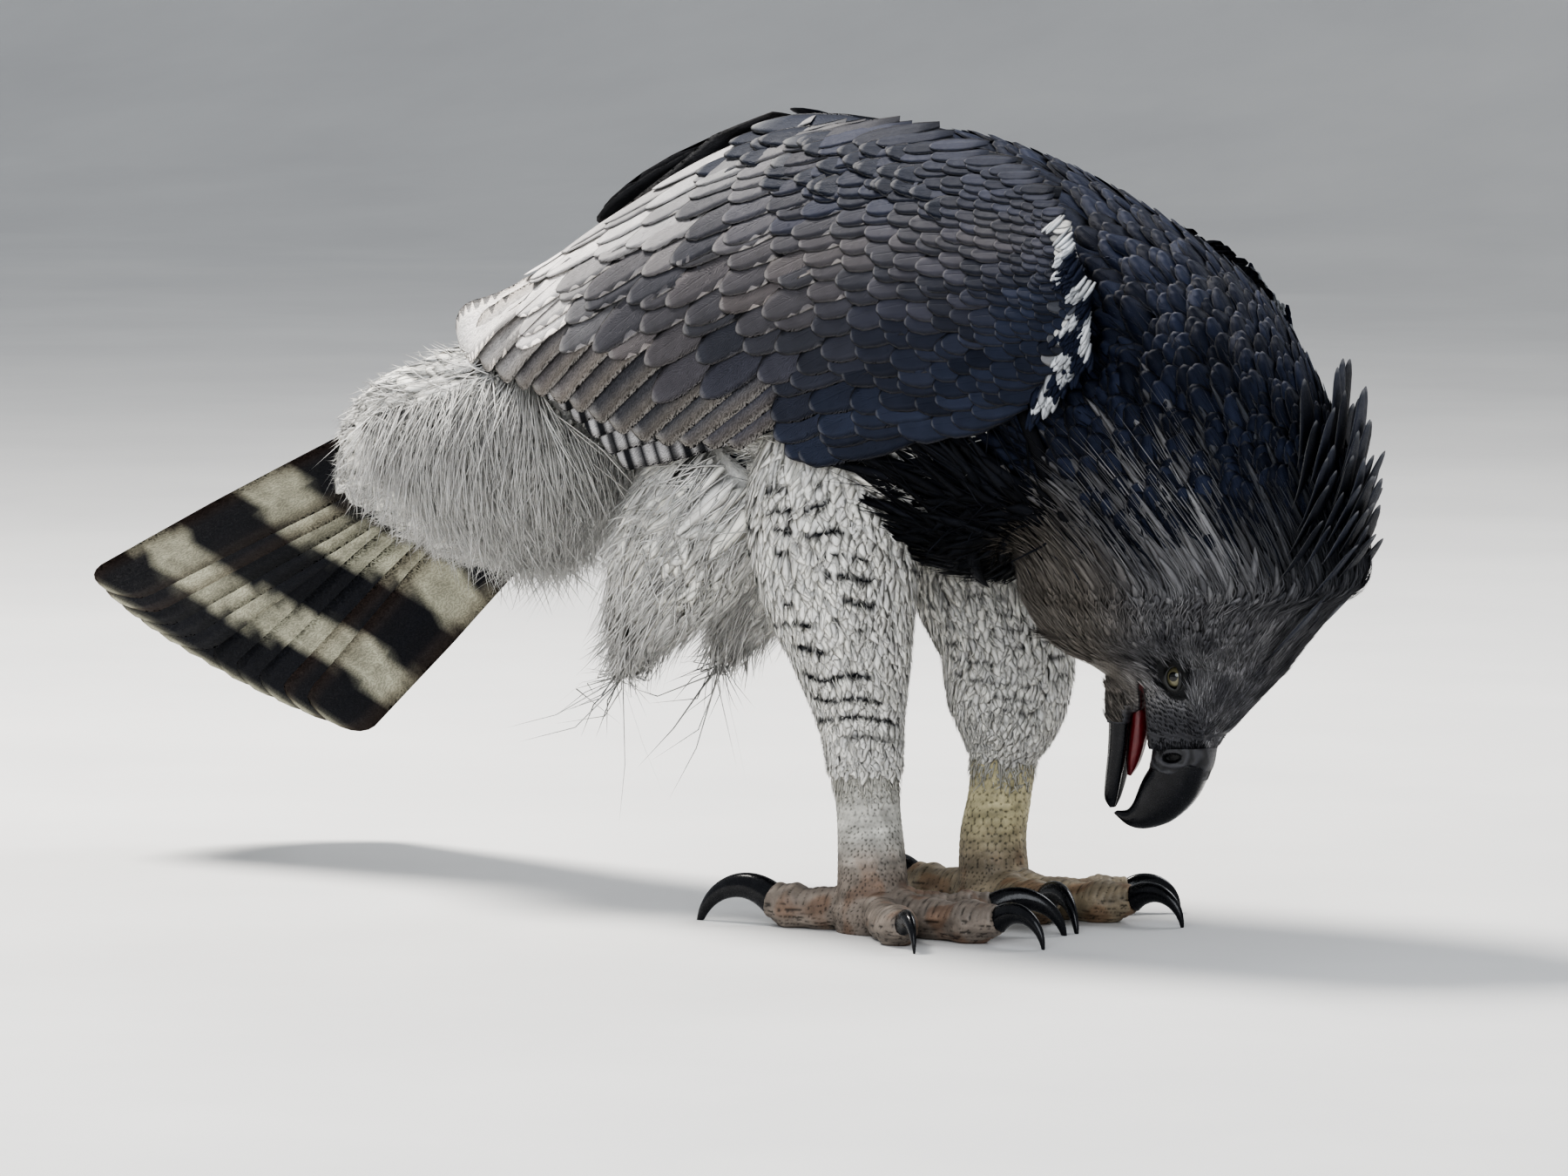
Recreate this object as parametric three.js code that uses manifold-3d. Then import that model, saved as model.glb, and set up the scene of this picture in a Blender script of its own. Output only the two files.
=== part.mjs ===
// A harpy eagle, life size, standing with its head bowed to its feet and its bill open.
// Millimetres. +X is the way the bird faces, +Y its left, +Z up, and the floor is z = 0.
// The origin is on the floor under the middle of the bird's outline.
import * as THREE from 'three';
import Module from 'manifold-3d';

const wasm = await Module();
wasm.setup();

// Driving sizes
const GAP = 0.35; // between pieces that touch
const TAIL_LENGTH = 412; // longest rectrix
const TAIL_FEATHERS = 12;
const TAIL_PITCH = 27.3; // degrees below the horizontal
const TAIL_YAW = 10; // degrees towards the bird's left
const TAIL_ROLL = 35; // degrees, left edge down
const WING_DEPTH = 26; // folded wing, outside to inside
const HALF_STANCE = 56; // midline to the middle of each foot
const EYE_RADIUS = 10;
const HEAD_TURN = 20; // degrees that the crown turns to the bird's left
const FAR_WING_BACK = 12; // the left wing is laid this much further back
const SOLE = 1.2; // level at which pads and claw tips are pressed flat

// Colours of the life: [colour, roughness]
const FINISH = {
  slate: [0x2b2f38, 0.6],
  black: [0x14151b, 0.6],
  grey: [0x6f6f74, 0.75],
  white: [0xe2dfd2, 0.8],
  barred: [0x3a3836, 0.65],
  horn: [0x0d0e12, 0.3],
  skin: [0xb9b19a, 0.7],
  toe: [0x8d806a, 0.7],
  mouth: [0x6b1a20, 0.45],
  iris: [0x8b8871, 0.15],
};

const vec = (x, y, z) => new THREE.Vector3(x, y, z);
const rad = THREE.MathUtils.degToRad;
const mix = THREE.MathUtils.lerp;
const range = (count) => [...Array(count).keys()];

// A repeatable draw between -1 and 1.
function makeDraw(seed) {
  let state = seed;
  return () => {
    state = (state * 16807) % 2147483647;
    return (state / 2147483647) * 2 - 1;
  };
}

// Smooth value of a row of equally spaced numbers at place t.
function smooth(values, t) {
  const last = values.length - 1;
  const i = Math.min(Math.max(Math.floor(t), 0), last - 1);
  const f = t - i;
  const at = (k) => values[Math.min(Math.max(k, 0), last)];
  const [a, b, c, d] = [at(i - 1), at(i), at(i + 1), at(i + 2)];
  return b + 0.5 * f * (c - a + f * (2 * a - 5 * b + 4 * c - d + f * (3 * (b - c) + d - a)));
}

const smoothPoint = (points, t) =>
  vec(...['x', 'y', 'z'].map((axis) => smooth(points.map((p) => p[axis]), t)));

// A closed body as a three.js geometry: rings of points joined in a row. Each end is a fan, or for a
// thin ring that runs out along one face and back along the other, a strip between the two.
function skin(rings, thin = false) {
  const around = rings[0].length;
  const points = rings.flat();
  const faces = [];
  rings.slice(1).forEach((_, r) => {
    for (let k = 0; k < around; k += 1) {
      const a = r * around + k;
      const b = r * around + ((k + 1) % around);
      const [c, d] = [a + around, b + around];
      // The shorter diagonal, so that a bent face folds the same way on both sides of a thin vane.
      if (points[a].distanceToSquared(points[d]) < points[b].distanceToSquared(points[c])) {
        faces.push(a, b, d, a, d, c);
      } else {
        faces.push(a, b, c, b, d, c);
      }
    }
  });
  [0, rings.length - 1].forEach((r) => {
    const cap = [];
    if (thin) {
      for (let k = 0; k < around / 2 - 1; k += 1) {
        cap.push([k, k + 1, around - 2 - k], [k, around - 2 - k, around - 1 - k]);
      }
    } else {
      for (let k = 1; k < around - 1; k += 1) cap.push([0, k, k + 1]);
    }
    cap.forEach((face) => faces.push(...(r === 0 ? face.reverse() : face).map((k) => r * around + k)));
  });
  const geometry = new THREE.BufferGeometry().setFromPoints(points);
  geometry.setIndex(faces);
  return geometry;
}

// A three.js geometry with shared vertices as a solid facing outwards.
function solid(geometry) {
  const vertProperties = new Float32Array(geometry.attributes.position.array);
  const triVerts = new Uint32Array(geometry.index.array);
  const make = () => new wasm.Manifold(new wasm.Mesh({ numProp: 3, vertProperties, triVerts }));
  const made = make();
  if (made.volume() > 0) return made;
  for (let i = 0; i < triVerts.length; i += 3) {
    [triVerts[i + 1], triVerts[i + 2]] = [triVerts[i + 2], triVerts[i + 1]];
  }
  return make();
}

const body = (rings, thin) => solid(skin(rings, thin));
const fuse = (solids) => wasm.Manifold.union(solids);
const cutBy = (from, cutters) => cutters.reduce((left, cutter) => left.subtract(cutter), from);
const largest = (parts) => parts.decompose().sort((a, b) => b.volume() - a.volume())[0];

// A ring between a top and a bottom point, with its widest place half way. square squares it up a little.
function ringBetween(top, bottom, wide, side, count, grow = 0, square = 1) {
  const middle = top.clone().add(bottom).multiplyScalar(0.5);
  const rise = top.clone().sub(middle);
  const high = rise.length() + grow;
  rise.normalize();
  return range(count).map((k) => {
    const turn = (2 * Math.PI * k) / count;
    const [c, s] = [Math.cos(turn), Math.sin(turn)];
    return middle.clone()
      .addScaledVector(side, (wide + grow) * Math.sign(c) * Math.abs(c) ** square)
      .addScaledVector(rise, high * Math.sign(s) * Math.abs(s) ** square);
  });
}

// Head frame: forward along the bill, which points straight down, up to the crown, and left.
const EYE_MIDDLE = vec(174, 0, 152);
const turn = rad(HEAD_TURN);
const TO_BILL = vec(0, 0, -1);
const TO_CROWN = vec(Math.cos(turn), Math.sin(turn), 0);
const TO_LEFT = vec(-Math.sin(turn), Math.cos(turn), 0);

const onHead = (forward, up, left = 0) =>
  EYE_MIDDLE.clone()
    .addScaledVector(TO_BILL, forward)
    .addScaledVector(TO_CROWN, up)
    .addScaledVector(TO_LEFT, left);

// The line of the body from the root of the tail over the back and down the neck to the face.
const along = (topX, topZ, lowX, lowZ, wide, squarish = 0.95) => ({
  top: vec(topX, 0, topZ),
  low: vec(lowX, 0, lowZ),
  wide,
  twist: 0,
  squarish,
});
const headRing = (forward, up, down, wide, squarish = 1) => ({
  top: onHead(forward, up),
  low: onHead(forward, -down),
  wide,
  twist: HEAD_TURN,
  squarish,
});
const STATIONS = [
  along(-254, 330, -218, 262, 40),
  along(-186, 392, -150, 240, 74),
  along(-102, 434, -76, 222, 92),
  along(0, 441, -8, 212, 100),
  along(98, 414, 30, 204, 101),
  along(194, 362, 51, 203, 96),
  along(252, 284, 70, 216, 86, 1),
  { ...headRing(-60, 92, 92, 84), low: onHead(-52, -92), twist: HEAD_TURN * 0.75 },
  headRing(-39, 78, 93, 77),
  headRing(-17, 62, 80, 58),
  headRing(0, 50, 54, 38),
  headRing(10, 41, 42, 32),
  headRing(25, 27.5, 41, 25, 0.95),
  headRing(42, 12.5, 40, 17.5, 0.9),
];
const PLACE = { tailRoot: 0, neck: 5, head: 6.5, face: STATIONS.length - 1 };

// One ring of that line at place s.
function bodyRing(s, count, grow = 0) {
  const top = smoothPoint(STATIONS.map((ring) => ring.top), s);
  const low = smoothPoint(STATIONS.map((ring) => ring.low), s);
  const twist = rad(smooth(STATIONS.map((ring) => ring.twist), s));
  const wide = smooth(STATIONS.map((ring) => ring.wide), s);
  const squarish = smooth(STATIONS.map((ring) => ring.squarish), s);
  const side = vec(-Math.sin(twist), Math.cos(twist), 0);
  return ringBetween(top, low, wide, side, count, grow, squarish);
}

// The body between two places on that line.
function bodyLength(from, to, steps, count, grow = 0) {
  return body(range(steps + 1).map((k) => bodyRing(mix(from, to, k / steps), count, grow)));
}

// A point on the body's surface: place s along it, and degrees round from its left side over the back.
function bodyPoint(s, degrees) {
  const count = 72;
  const place = (((degrees % 360) + 360) % 360) / (360 / count);
  const ring = bodyRing(s, count);
  const k = Math.floor(place);
  return ring[k % count].clone().lerp(ring[(k + 1) % count], place - k);
}

// Direction away from a surface at (a, b), found from its slopes; flip turns it round.
function normalOf(surface, a, b, stepA, stepB, flip) {
  const slopeA = surface(a + stepA, b).sub(surface(a - stepA, b));
  const slopeB = surface(a, b + stepB).sub(surface(a, b - stepB));
  return slopeA.cross(slopeB).normalize().multiplyScalar(flip);
}

// Tiers of overlapping feathers as one closed sheet over a surface. Columns of feathers run along it,
// stepped where a feather covers the one beside it, and each tier ends in a row of lobes that stands
// rise above the next one. across(share, a) is a column's place, raised(k) the edge of feather k
// that covers its neighbour (-1 or 1, 0 for both), under(a, high) the height of the sheet's back, and
// lift how far later tiers start above the surface.
function shingles(surface, look) {
  const { columns, across, start, tiers, raised, under, slope, flip } = look;
  const { step = 1.3, notch = 0.25, sink = 6, lift = 0 } = look;
  const half = 0.5 / columns;
  const spots = range(columns).flatMap((k) =>
    [-1, 0, 1].map((edge) => ({ k, edge, share: (k + 0.5) / columns })));
  const ring = (line, high, cover) => {
    const points = line.map(([a, share], i) => {
      const { k, edge } = spots[i];
      const over = edge === 0 ? 0.75 : Number(raised(k) === 0 || raised(k) === edge);
      return { a, b: across(share, a), high: high + step * cover * over };
    });
    const lay = ({ a, b }, height) =>
      surface(a, b).addScaledVector(normalOf(surface, a, b, slope[0], slope[1], flip), height);
    return [
      ...points.map((point) => lay(point, point.high)),
      ...points.map((point) => lay(point, under(point.a, point.high))).reverse(),
    ];
  };
  let before = spots.map(({ share, edge }) => [start(share), share + edge * half]);
  const rings = tiers.flatMap(({ tip, rise }, t) => {
    const root = before;
    before = spots.map(({ k, share, edge }, i) => [
      edge === 0 ? tip(share, k) : mix(tip(share, k), root[i][0], notch),
      share + edge * half * (edge === 0 ? 1 : 0.86),
    ]);
    const between = spots.map(({ share, edge }, i) =>
      [mix(root[i][0], before[i][0], 0.55), share + edge * half]);
    return [ring(root, t === 0 ? -sink : lift, 0.4), ring(between, rise * 0.6, 0.9), ring(before, rise, 1)];
  });
  return body(rings, true);
}

// Places along a single feather and its share of full width there.
const CREST = [[0, 0.55], [0.45, 0.9], [0.8, 1], [1, 0.35]];

// One feather as a closed vane. centre(u), out(u) and side(u) give its line, its face and its edge.
function vane(shape, line, { width, thick, camber = 0 }) {
  return body(shape.map(([u, share]) => {
    const { centre, out, side } = line(u);
    const half = (width / 2) * share;
    const at = (across, high) =>
      centre.clone()
        .addScaledVector(side, across * half)
        .addScaledVector(out, high - Math.abs(across) * camber * half);
    return [at(-1, 0), at(0, thick / 2), at(1, 0), at(0, -thick / 2)];
  }));
}

// A straight-ish feather from a root along a direction, drooping away from its face.
function reach(root, ahead, out, length, droop = 0) {
  const side = out.clone().cross(ahead).normalize();
  const face = ahead.clone().cross(side).normalize();
  return (u) => ({
    centre: root.clone().addScaledVector(ahead, length * u).addScaledVector(face, -droop * u * u),
    out: face,
    side,
  });
}

// A round limb through points with a radius at each, cut from steps rings.
function limb(points, radii, steps, count, grow = 0, flat = 1) {
  const last = points.length - 1;
  const at = (t) => smoothPoint(points, t);
  return body(range(steps + 1).map((k) => {
    const t = (last * k) / steps;
    const ahead = at(Math.min(t + 0.02, last)).sub(at(Math.max(t - 0.02, 0))).normalize();
    const side = vec(0, 1, 0).cross(ahead).lengthSq() > 0.04
      ? vec(0, 1, 0).cross(ahead).normalize()
      : vec(1, 0, 0).cross(ahead).normalize();
    const other = ahead.clone().cross(side).normalize();
    const radius = smooth(radii, t) + grow;
    return range(count).map((j) => {
      const angle = (2 * Math.PI * j) / count;
      return at(t)
        .addScaledVector(side, radius * Math.cos(angle))
        .addScaledVector(other, radius * flat * Math.sin(angle));
    });
  }));
}

// The frame of the tail: to its tip, to its left edge, and up through its face.
function tailFrame() {
  const [pitch, yaw, roll] = [rad(TAIL_PITCH), rad(TAIL_YAW), rad(TAIL_ROLL)];
  const tip = vec(-Math.cos(pitch) * Math.cos(yaw), Math.cos(pitch) * Math.sin(yaw), -Math.sin(pitch));
  const level = vec(Math.sin(yaw), Math.cos(yaw), 0);
  const face = tip.clone().cross(level).negate();
  const left = level.clone().multiplyScalar(Math.cos(roll)).addScaledVector(face, -Math.sin(roll));
  return { tip, left, face: left.clone().cross(tip).normalize() };
}
const TAIL_ROOT = vec(-240, 0, 301);
const tail = tailFrame();
const onTail = (down, left, up) =>
  TAIL_ROOT.clone()
    .addScaledVector(tail.tip, down)
    .addScaledVector(tail.left, left)
    .addScaledVector(tail.face, up);

// The space that the tail's feathers take, from the root to the tip.
const tailSpaceOf = (low, high, margin) =>
  body([[-4, 32], [60, 46], [180, 68], [TAIL_LENGTH + 12, 108]].map(([down, half]) => [
    onTail(down, -half - margin, high),
    onTail(down, half + margin, high),
    onTail(down, half + margin, low),
    onTail(down, -half - margin, low),
  ]));

const tailPlug = (grow = 0) =>
  body([[GAP, 29, 14], [26, 30, 11], [64, 36, 5]].map(([down, wide, high]) =>
    ringBetween(onTail(down, 0, high), onTail(down, 0, -high), wide, tail.left, 12, grow)));

function makeTail() {
  const draw = makeDraw(71);
  const middle = (TAIL_FEATHERS - 1) / 2;
  const arched = (down, left) => onTail(down, left, 3 - (left * left) / 900 - (down * down) / 26000);
  // The middle pair lies on top, and each feather covers the next one outwards.
  const looks = { slope: [2, 2], flip: -1 };
  const fan = shingles(arched, {
    ...looks,
    columns: TAIL_FEATHERS,
    across: (share, down) => (share - 0.5) * mix(50, 184, down / TAIL_LENGTH),
    start: () => 5,
    tiers: [{ tip: (share, k) => TAIL_LENGTH - (k - middle) ** 2 * 0.75 + draw() * 2, rise: 0 }],
    raised: (k) => (k === TAIL_FEATHERS / 2 ? 0 : Math.sign(k - middle)),
    under: (down, high) => high - 1.7,
    sink: 0,
    notch: 0.045,
  });
  const swell = (down, left) => onTail(down, left, 12 - down * 0.06 - (left * left) / 300);
  const coverts = shingles(swell, {
    ...looks,
    columns: 5,
    across: (share, down) => (share - 0.5) * mix(56, 74, down / 128),
    start: () => 4,
    tiers: [80, 130].map((tip) => ({ tip: (share) => tip - 60 * (share - 0.5) ** 2, rise: 1.5 })),
    raised: () => -1,
    under: (down) => -9 + down * 0.05,
    sink: 2,
  });
  return fuse([tailPlug(), fan, coverts]);
}

// White plumes that swell round the root of the tail, below it and beside it.
const UNDERTAIL = [
  { down: 3, left: -2, up: -12, wide: 44, thick: 36 },
  { down: 45, left: -6, up: -20, wide: 64, thick: 42 },
  { down: 95, left: -8, up: -19, wide: 76, thick: 42 },
  { down: 140, left: -6, up: -15, wide: 72, thick: 33 },
  { down: 178, left: -2, up: -9, wide: 54, thick: 17 },
];

function makeUndertail(keepOut) {
  const last = UNDERTAIL.length - 1;
  const column = (name) => UNDERTAIL.map((ring) => ring[name]);
  // A point of the plumes' outside at place t along them and degrees round from the left over the top.
  const outside = (t, degrees, deep = 0) => {
    const [down, left, up, wide, thick] = ['down', 'left', 'up', 'wide', 'thick']
      .map((name) => smooth(column(name), t));
    const angle = rad(degrees);
    return onTail(down, left + (wide - deep) * Math.cos(angle), up + (thick - deep) * Math.sin(angle));
  };
  const core = body(range(7).map((r) => range(12).map((k) => outside((last * r) / 6, (k * 360) / 12, 3))));
  const draw = makeDraw(29);
  const plumes = shingles(outside, {
    columns: 6,
    across: (share) => 145 + 250 * share,
    start: () => 0.2,
    tiers: [1.7, 3, last + 0.3].map((tip) => ({ tip: () => tip + 0.14 * draw(), rise: 4 })),
    raised: () => 1,
    under: () => -7,
    slope: [0.05, 3],
    flip: 1,
    step: 2,
    notch: 0.34,
  });
  return largest(cutBy(fuse([core, plumes]), keepOut));
}

// The folded wing: low edge, high edge and bulge at each distance forward. side is -1 for the right wing.
const WING_STATIONS = [
  { x: -312, lowY: 50, lowZ: 316, highY: 44, highZ: 328, bulge: 2, farRaise: 14 },
  { x: -270, lowY: 64, lowZ: 303, highY: 34, highZ: 352, bulge: 8, farRaise: 16 },
  { x: -210, lowY: 84, lowZ: 289, highY: 27, highZ: 391, bulge: 20, farRaise: 17 },
  { x: -150, lowY: 97, lowZ: 270, highY: 24, highZ: 424, bulge: 34, farRaise: 14 },
  { x: -85, lowY: 105, lowZ: 266, highY: 22, highZ: 449, bulge: 44, farRaise: 0 },
  { x: -20, lowY: 107, lowZ: 270, highY: 24, highZ: 455, bulge: 47, farRaise: -16 },
  { x: 60, lowY: 108, lowZ: 276, highY: 42, highZ: 443, bulge: 42, farRaise: -28 },
  { x: 120, lowY: 106, lowZ: 286, highY: 64, highZ: 426, bulge: 26, farRaise: -30 },
  { x: 155, lowY: 103, lowZ: 306, highY: 88, highZ: 402, bulge: 12, farRaise: -26 },
  { x: 176, lowY: 100, lowZ: 330, highY: 97, highZ: 372, bulge: 4, farRaise: -22 },
];

function makeWingSurface(side) {
  const column = (name) => WING_STATIONS.map((station) => station[name]);
  const placeOf = (x) => {
    const last = WING_STATIONS.length - 1;
    let i = WING_STATIONS.findIndex((station) => station.x >= x);
    i = i < 0 ? last : Math.max(i, 1);
    const [a, b] = [WING_STATIONS[i - 1].x, WING_STATIONS[i].x];
    return i - 1 + (x - a) / (b - a);
  };
  const shapes = ['lowY', 'lowZ', 'highY', 'highZ', 'bulge', 'farRaise'].map(column);
  return (x, q) => {
    const t = placeOf(x);
    const [lowY, lowZ, highY, highZ, bulge, farRaise] = shapes.map((values) => smooth(values, t));
    const chord = vec(0, highY - lowY, highZ - lowZ).normalize();
    const out = vec(0, chord.z, -chord.y);
    const place = vec(x, mix(lowY, highY, q), mix(lowZ, highZ, q))
      .addScaledVector(out, bulge * 4 * q * (1 - q));
    return vec(x - FAR_WING_BACK * (side > 0), side * place.y, place.z + farRaise * (side > 0));
  };
}

// The slab that carries a wing's feathers: its outside lies a little under their roots.
function wingCore(surface, flip) {
  const rows = [176, 166, 146, 110, 60, 0, -60, -120, -180, -235];
  return body(rows.map((x) => {
    const rear = THREE.MathUtils.clamp((x + 240) / 130, 0.2, 1);
    const front = THREE.MathUtils.clamp((178 - x) / 26, 0.25, 1);
    const point = (q, deep) =>
      surface(x, q).addScaledVector(normalOf(surface, x, q, 2, 0.01, flip), -deep);
    const outside = range(7).map((k) => point(mix(0.02, 0.98, k / 6), 3.5));
    const inside = range(7).map((k) => {
      const q = mix(0.98, 0.02, k / 6);
      const edge = Math.min(1, 0.35 + 3 * Math.min(q, 1 - q));
      return point(q, 3.5 + WING_DEPTH * rear * front * edge);
    });
    return [...outside, ...inside];
  }));
}

// Where each tier of the wing ends: three of lesser and median coverts, the greater coverts, and the
// secondaries.
const WING_COLUMNS = 9;
const COVERT_TIPS = [112, 62, 2, -78];

function makeWing(side, seed, keepOut) {
  const flip = -side;
  const surface = makeWingSurface(side);
  const draw = makeDraw(seed);
  // Tiers bend forward towards the wing's two edges, and their feathers sink a little on their way back.
  const bend = (share) => 60 * (share - 0.5) ** 2;
  const shared = { raised: () => -1, slope: [2, 0.01], flip };
  const feathers = shingles(surface, {
    ...shared,
    columns: WING_COLUMNS,
    across: (share, x) => mix(0.01, 0.99, share) - 0.0003 * (170 - x) * share * (1 - share) * 2,
    start: (share) => 168 - bend(share) * 0.8,
    tiers: [
      ...COVERT_TIPS.map((tip) => ({ tip: (share) => tip - bend(share) * 0.6 + 4 * draw(), rise: 2 })),
      { tip: (share) => -306 + mix(30, 52, share) * (2 * share - 0.8) ** 2 + 2 * draw(), rise: 1.2 },
    ],
    under: (x, high) => (x > -236 ? -6 : high - 2.2),
    notch: 0.2,
  });
  const primaries = shingles(surface, {
    ...shared,
    columns: 5,
    across: (share) => mix(-0.07, 0.13, share),
    start: () => -12,
    tiers: [{ tip: (share, k) => -160 - 12 * k, rise: 4 }],
    under: () => -4,
    notch: 0.12,
  });
  // Scapulars stand up over the edge of the back.
  const scapulars = shingles(surface, {
    ...shared,
    columns: 5,
    across: (share) => mix(0.84, 1.03, share),
    start: (share) => 96 - 10 * share,
    tiers: [
      { tip: (share, k) => 20 - 6 * k + 5 * draw(), rise: 5 },
      { tip: (share, k) => -84 - 14 * k + 6 * draw(), rise: 9 },
    ],
    under: () => -7,
    lift: 4,
  });
  const whole = fuse([wingCore(surface, flip), feathers, primaries, scapulars]);
  return largest(cutBy(whole, keepOut));
}

// The neck carries the black bib: a tier of soft feathers that hangs from the lower breast.
function makeNeck(keepOut) {
  const draw = makeDraw(13);
  const bib = shingles(bodyPoint, {
    columns: 6,
    across: (share) => mix(196, 344, share),
    start: () => PLACE.neck + 0.06,
    tiers: [
      { tip: () => PLACE.neck + 0.62 + 0.05 * draw(), rise: 9 },
      { tip: () => PLACE.neck + 1.2 + 0.08 * draw(), rise: 20 },
    ],
    raised: () => 1,
    under: (s) => mix(-8, 9, Math.max(0, (s - PLACE.neck - 0.5) / 0.8)),
    slope: [0.05, 4],
    flip: -1,
    step: 2,
    notch: 0.3,
    lift: 3,
  });
  return largest(cutBy(fuse([bodyLength(PLACE.neck + 0.004, PLACE.head - 0.003, 5, 20), bib]), keepOut));
}

function makeHead(keepOut) {
  const draw = makeDraw(5);
  const skull = bodyLength(PLACE.head + 0.006, PLACE.face, 12, 20);
  // Crest: long broad feathers from the hind crown. Roots and tips are forward and up in the head's frame.
  const rows = [
    { lefts: [-25, -8, 9, 26], root: [-86, 74], tip: [-176, 84] },
    { lefts: [-36, -18, 0, 18, 36], root: [-58, 72], tip: [-142, 96] },
    { lefts: [-40, -20, 0, 20, 40], root: [-38, 66], tip: [-112, 101] },
    { lefts: [-20, 0, 20], root: [-20, 58], tip: [-84, 102] },
  ];
  const crest = rows.flatMap(({ lefts, root, tip }) => lefts.map((left) => {
    const drop = 0.009 * left * left;
    const start = onHead(root[0], root[1] - drop, left);
    const end = onHead(tip[0] + drop * 1.2 + 5 * draw(), tip[1] - drop * 1.1 + 2 * draw(), left * 1.3);
    const ahead = end.clone().sub(start);
    const length = ahead.length();
    const out = TO_CROWN.clone().addScaledVector(TO_LEFT, left * 0.016).normalize();
    const line = reach(start, ahead.normalize(), out, length, -6);
    return vane(CREST, line, { width: 34, thick: 2, camber: 0.15 });
  }));
  // Ruff: the rim of the facial disc, from cheek to cheek under the throat.
  const ruff = shingles(bodyPoint, {
    columns: 11,
    across: (share) => 270 + 344 * (share - 0.5),
    start: () => PLACE.face - 5,
    tiers: [{ tip: () => PLACE.face - 6.25 + 0.07 * draw(), rise: 8 }],
    raised: (k) => (k > 5 ? 1 : -1),
    under: () => -5,
    slope: [0.05, 4],
    flip: -1,
    step: 2,
    notch: 0.34,
  });
  // Brows over deep eyes, with a rim of lids round each.
  const sides = [-1, 1];
  const brows = sides.map((side) =>
    body([[-26, 3], [-14, 6.5], [2, 7.5], [16, 6], [30, 3]].map(([forward, high]) =>
      ringBetween(
        onHead(forward, 12.5 + high, side * (30 - forward * 0.28)),
        onHead(forward, 12.5 - high, side * (31 - forward * 0.28)),
        high * 0.9,
        TO_LEFT,
        10,
      ))));
  const ballAt = (side, radius) =>
    solid(ballGeometry(radius, 10, 6)).translate(onHead(0, 0, side * 27).toArray());
  const lids = sides.map((side) => ballAt(side, EYE_RADIUS + 2));
  const openings = sides.map((side) =>
    body([20, 46].map((out) =>
      ringBetween(onHead(0, 5.2, side * out), onHead(0, -5.2, side * out), 6.6, TO_BILL, 14))));
  const sockets = sides.map((side) => ballAt(side, EYE_RADIUS + GAP));
  // The mouth: a wedge from the corner of the gape forward, and the chin cut back for the lower bill.
  const wedge = body([-40, 40].map((left) => [
    onHead(2, -21.5, left),
    onHead(60, -22.4, left),
    onHead(60, -36, left),
  ]));
  const chin = body([-40, 40].map((left) => [
    onHead(20, -24, left),
    onHead(60, -24, left),
    onHead(60, -70, left),
    onHead(20, -70, left),
  ]));
  return largest(cutBy(fuse([skull, ...crest, ruff, ...brows, ...lids]),
    [...sockets, ...openings, wedge, chin, ...keepOut]));
}

// A ball with shared vertices.
function ballGeometry(radius, around, high) {
  return skin(range(high - 1).map((r) => {
    const tilt = (Math.PI * (r + 1)) / high;
    return range(around).map((k) => vec(
      radius * Math.sin(tilt) * Math.cos((2 * Math.PI * k) / around),
      radius * Math.sin(tilt) * Math.sin((2 * Math.PI * k) / around),
      radius * Math.cos(tilt),
    ));
  }));
}

const makeEye = (side) =>
  solid(ballGeometry(EYE_RADIUS, 10, 6)).translate(onHead(0, 0, side * 27).toArray());

// Rings of the upper bill from cere to hook: culmen and cutting edge in the head's frame, half width.
const UPPER_BILL = [
  [42.4, 11.8, 42.4, -22, 16.8],
  [51, 10.2, 47, -22.6, 15.8],
  [60, 6.8, 53, -24.5, 14.4],
  [69, 2, 58, -27.5, 12.8],
  [77, -5.2, 63, -30, 11],
  [83.5, -14.5, 68, -32, 9],
  [87, -27, 73.5, -34.5, 6.6],
  [85.5, -37, 77, -38, 3.8],
  [79, -45.5, 77.6, -43.5, 0.9],
];

function makeUpperBill() {
  const horn = body(UPPER_BILL.map(([topForward, topUp, edgeForward, edgeUp, half]) =>
    ringBetween(onHead(topForward, topUp), onHead(edgeForward, edgeUp), half, TO_LEFT, 14, 0, 0.85)));
  const nostrils = [-1, 1].map((side) =>
    limb(
      [onHead(46, -8, side * 11), onHead(46.5, -7.5, side * 15), onHead(47, -7, side * 20)],
      [2.6, 2.6, 3],
      4,
      8,
    ));
  return largest(cutBy(horn, nostrils));
}

// Rings of the lower bill: upper edge and keel in the head's frame, half width.
const LOWER_BILL = [
  [20.4, -29.4, 20.4, -47.6, 13.8],
  [32, -31.5, 32, -47.4, 12.8],
  [45, -33.8, 46, -48.2, 11.2],
  [58, -36.8, 60, -49.8, 8.8],
  [69, -40, 70.5, -50.4, 5.8],
  [75.6, -43.8, 76, -47.6, 2],
];

function makeLowerBill() {
  const jaw = body(LOWER_BILL.map(([topForward, topUp, keelForward, keelUp, half]) =>
    ringBetween(onHead(topForward, topUp), onHead(keelForward, keelUp), half, TO_LEFT, 12, 0, 0.85)));
  const trough = limb(
    [onHead(14, -31), onHead(40, -34.5), onHead(62, -40.5), onHead(72, -44.5)],
    [8.6, 8, 5, 0.8],
    8,
    10,
  );
  return largest(jaw.subtract(trough));
}

const makeTongue = (grow = 0) =>
  limb(
    [onHead(14, -31.6), onHead(32, -32.4), onHead(48, -34.8), onHead(58, -36.4)],
    [6.8, 6.4, 5, 1.4],
    8,
    10,
    grow,
    0.7,
  );

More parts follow.
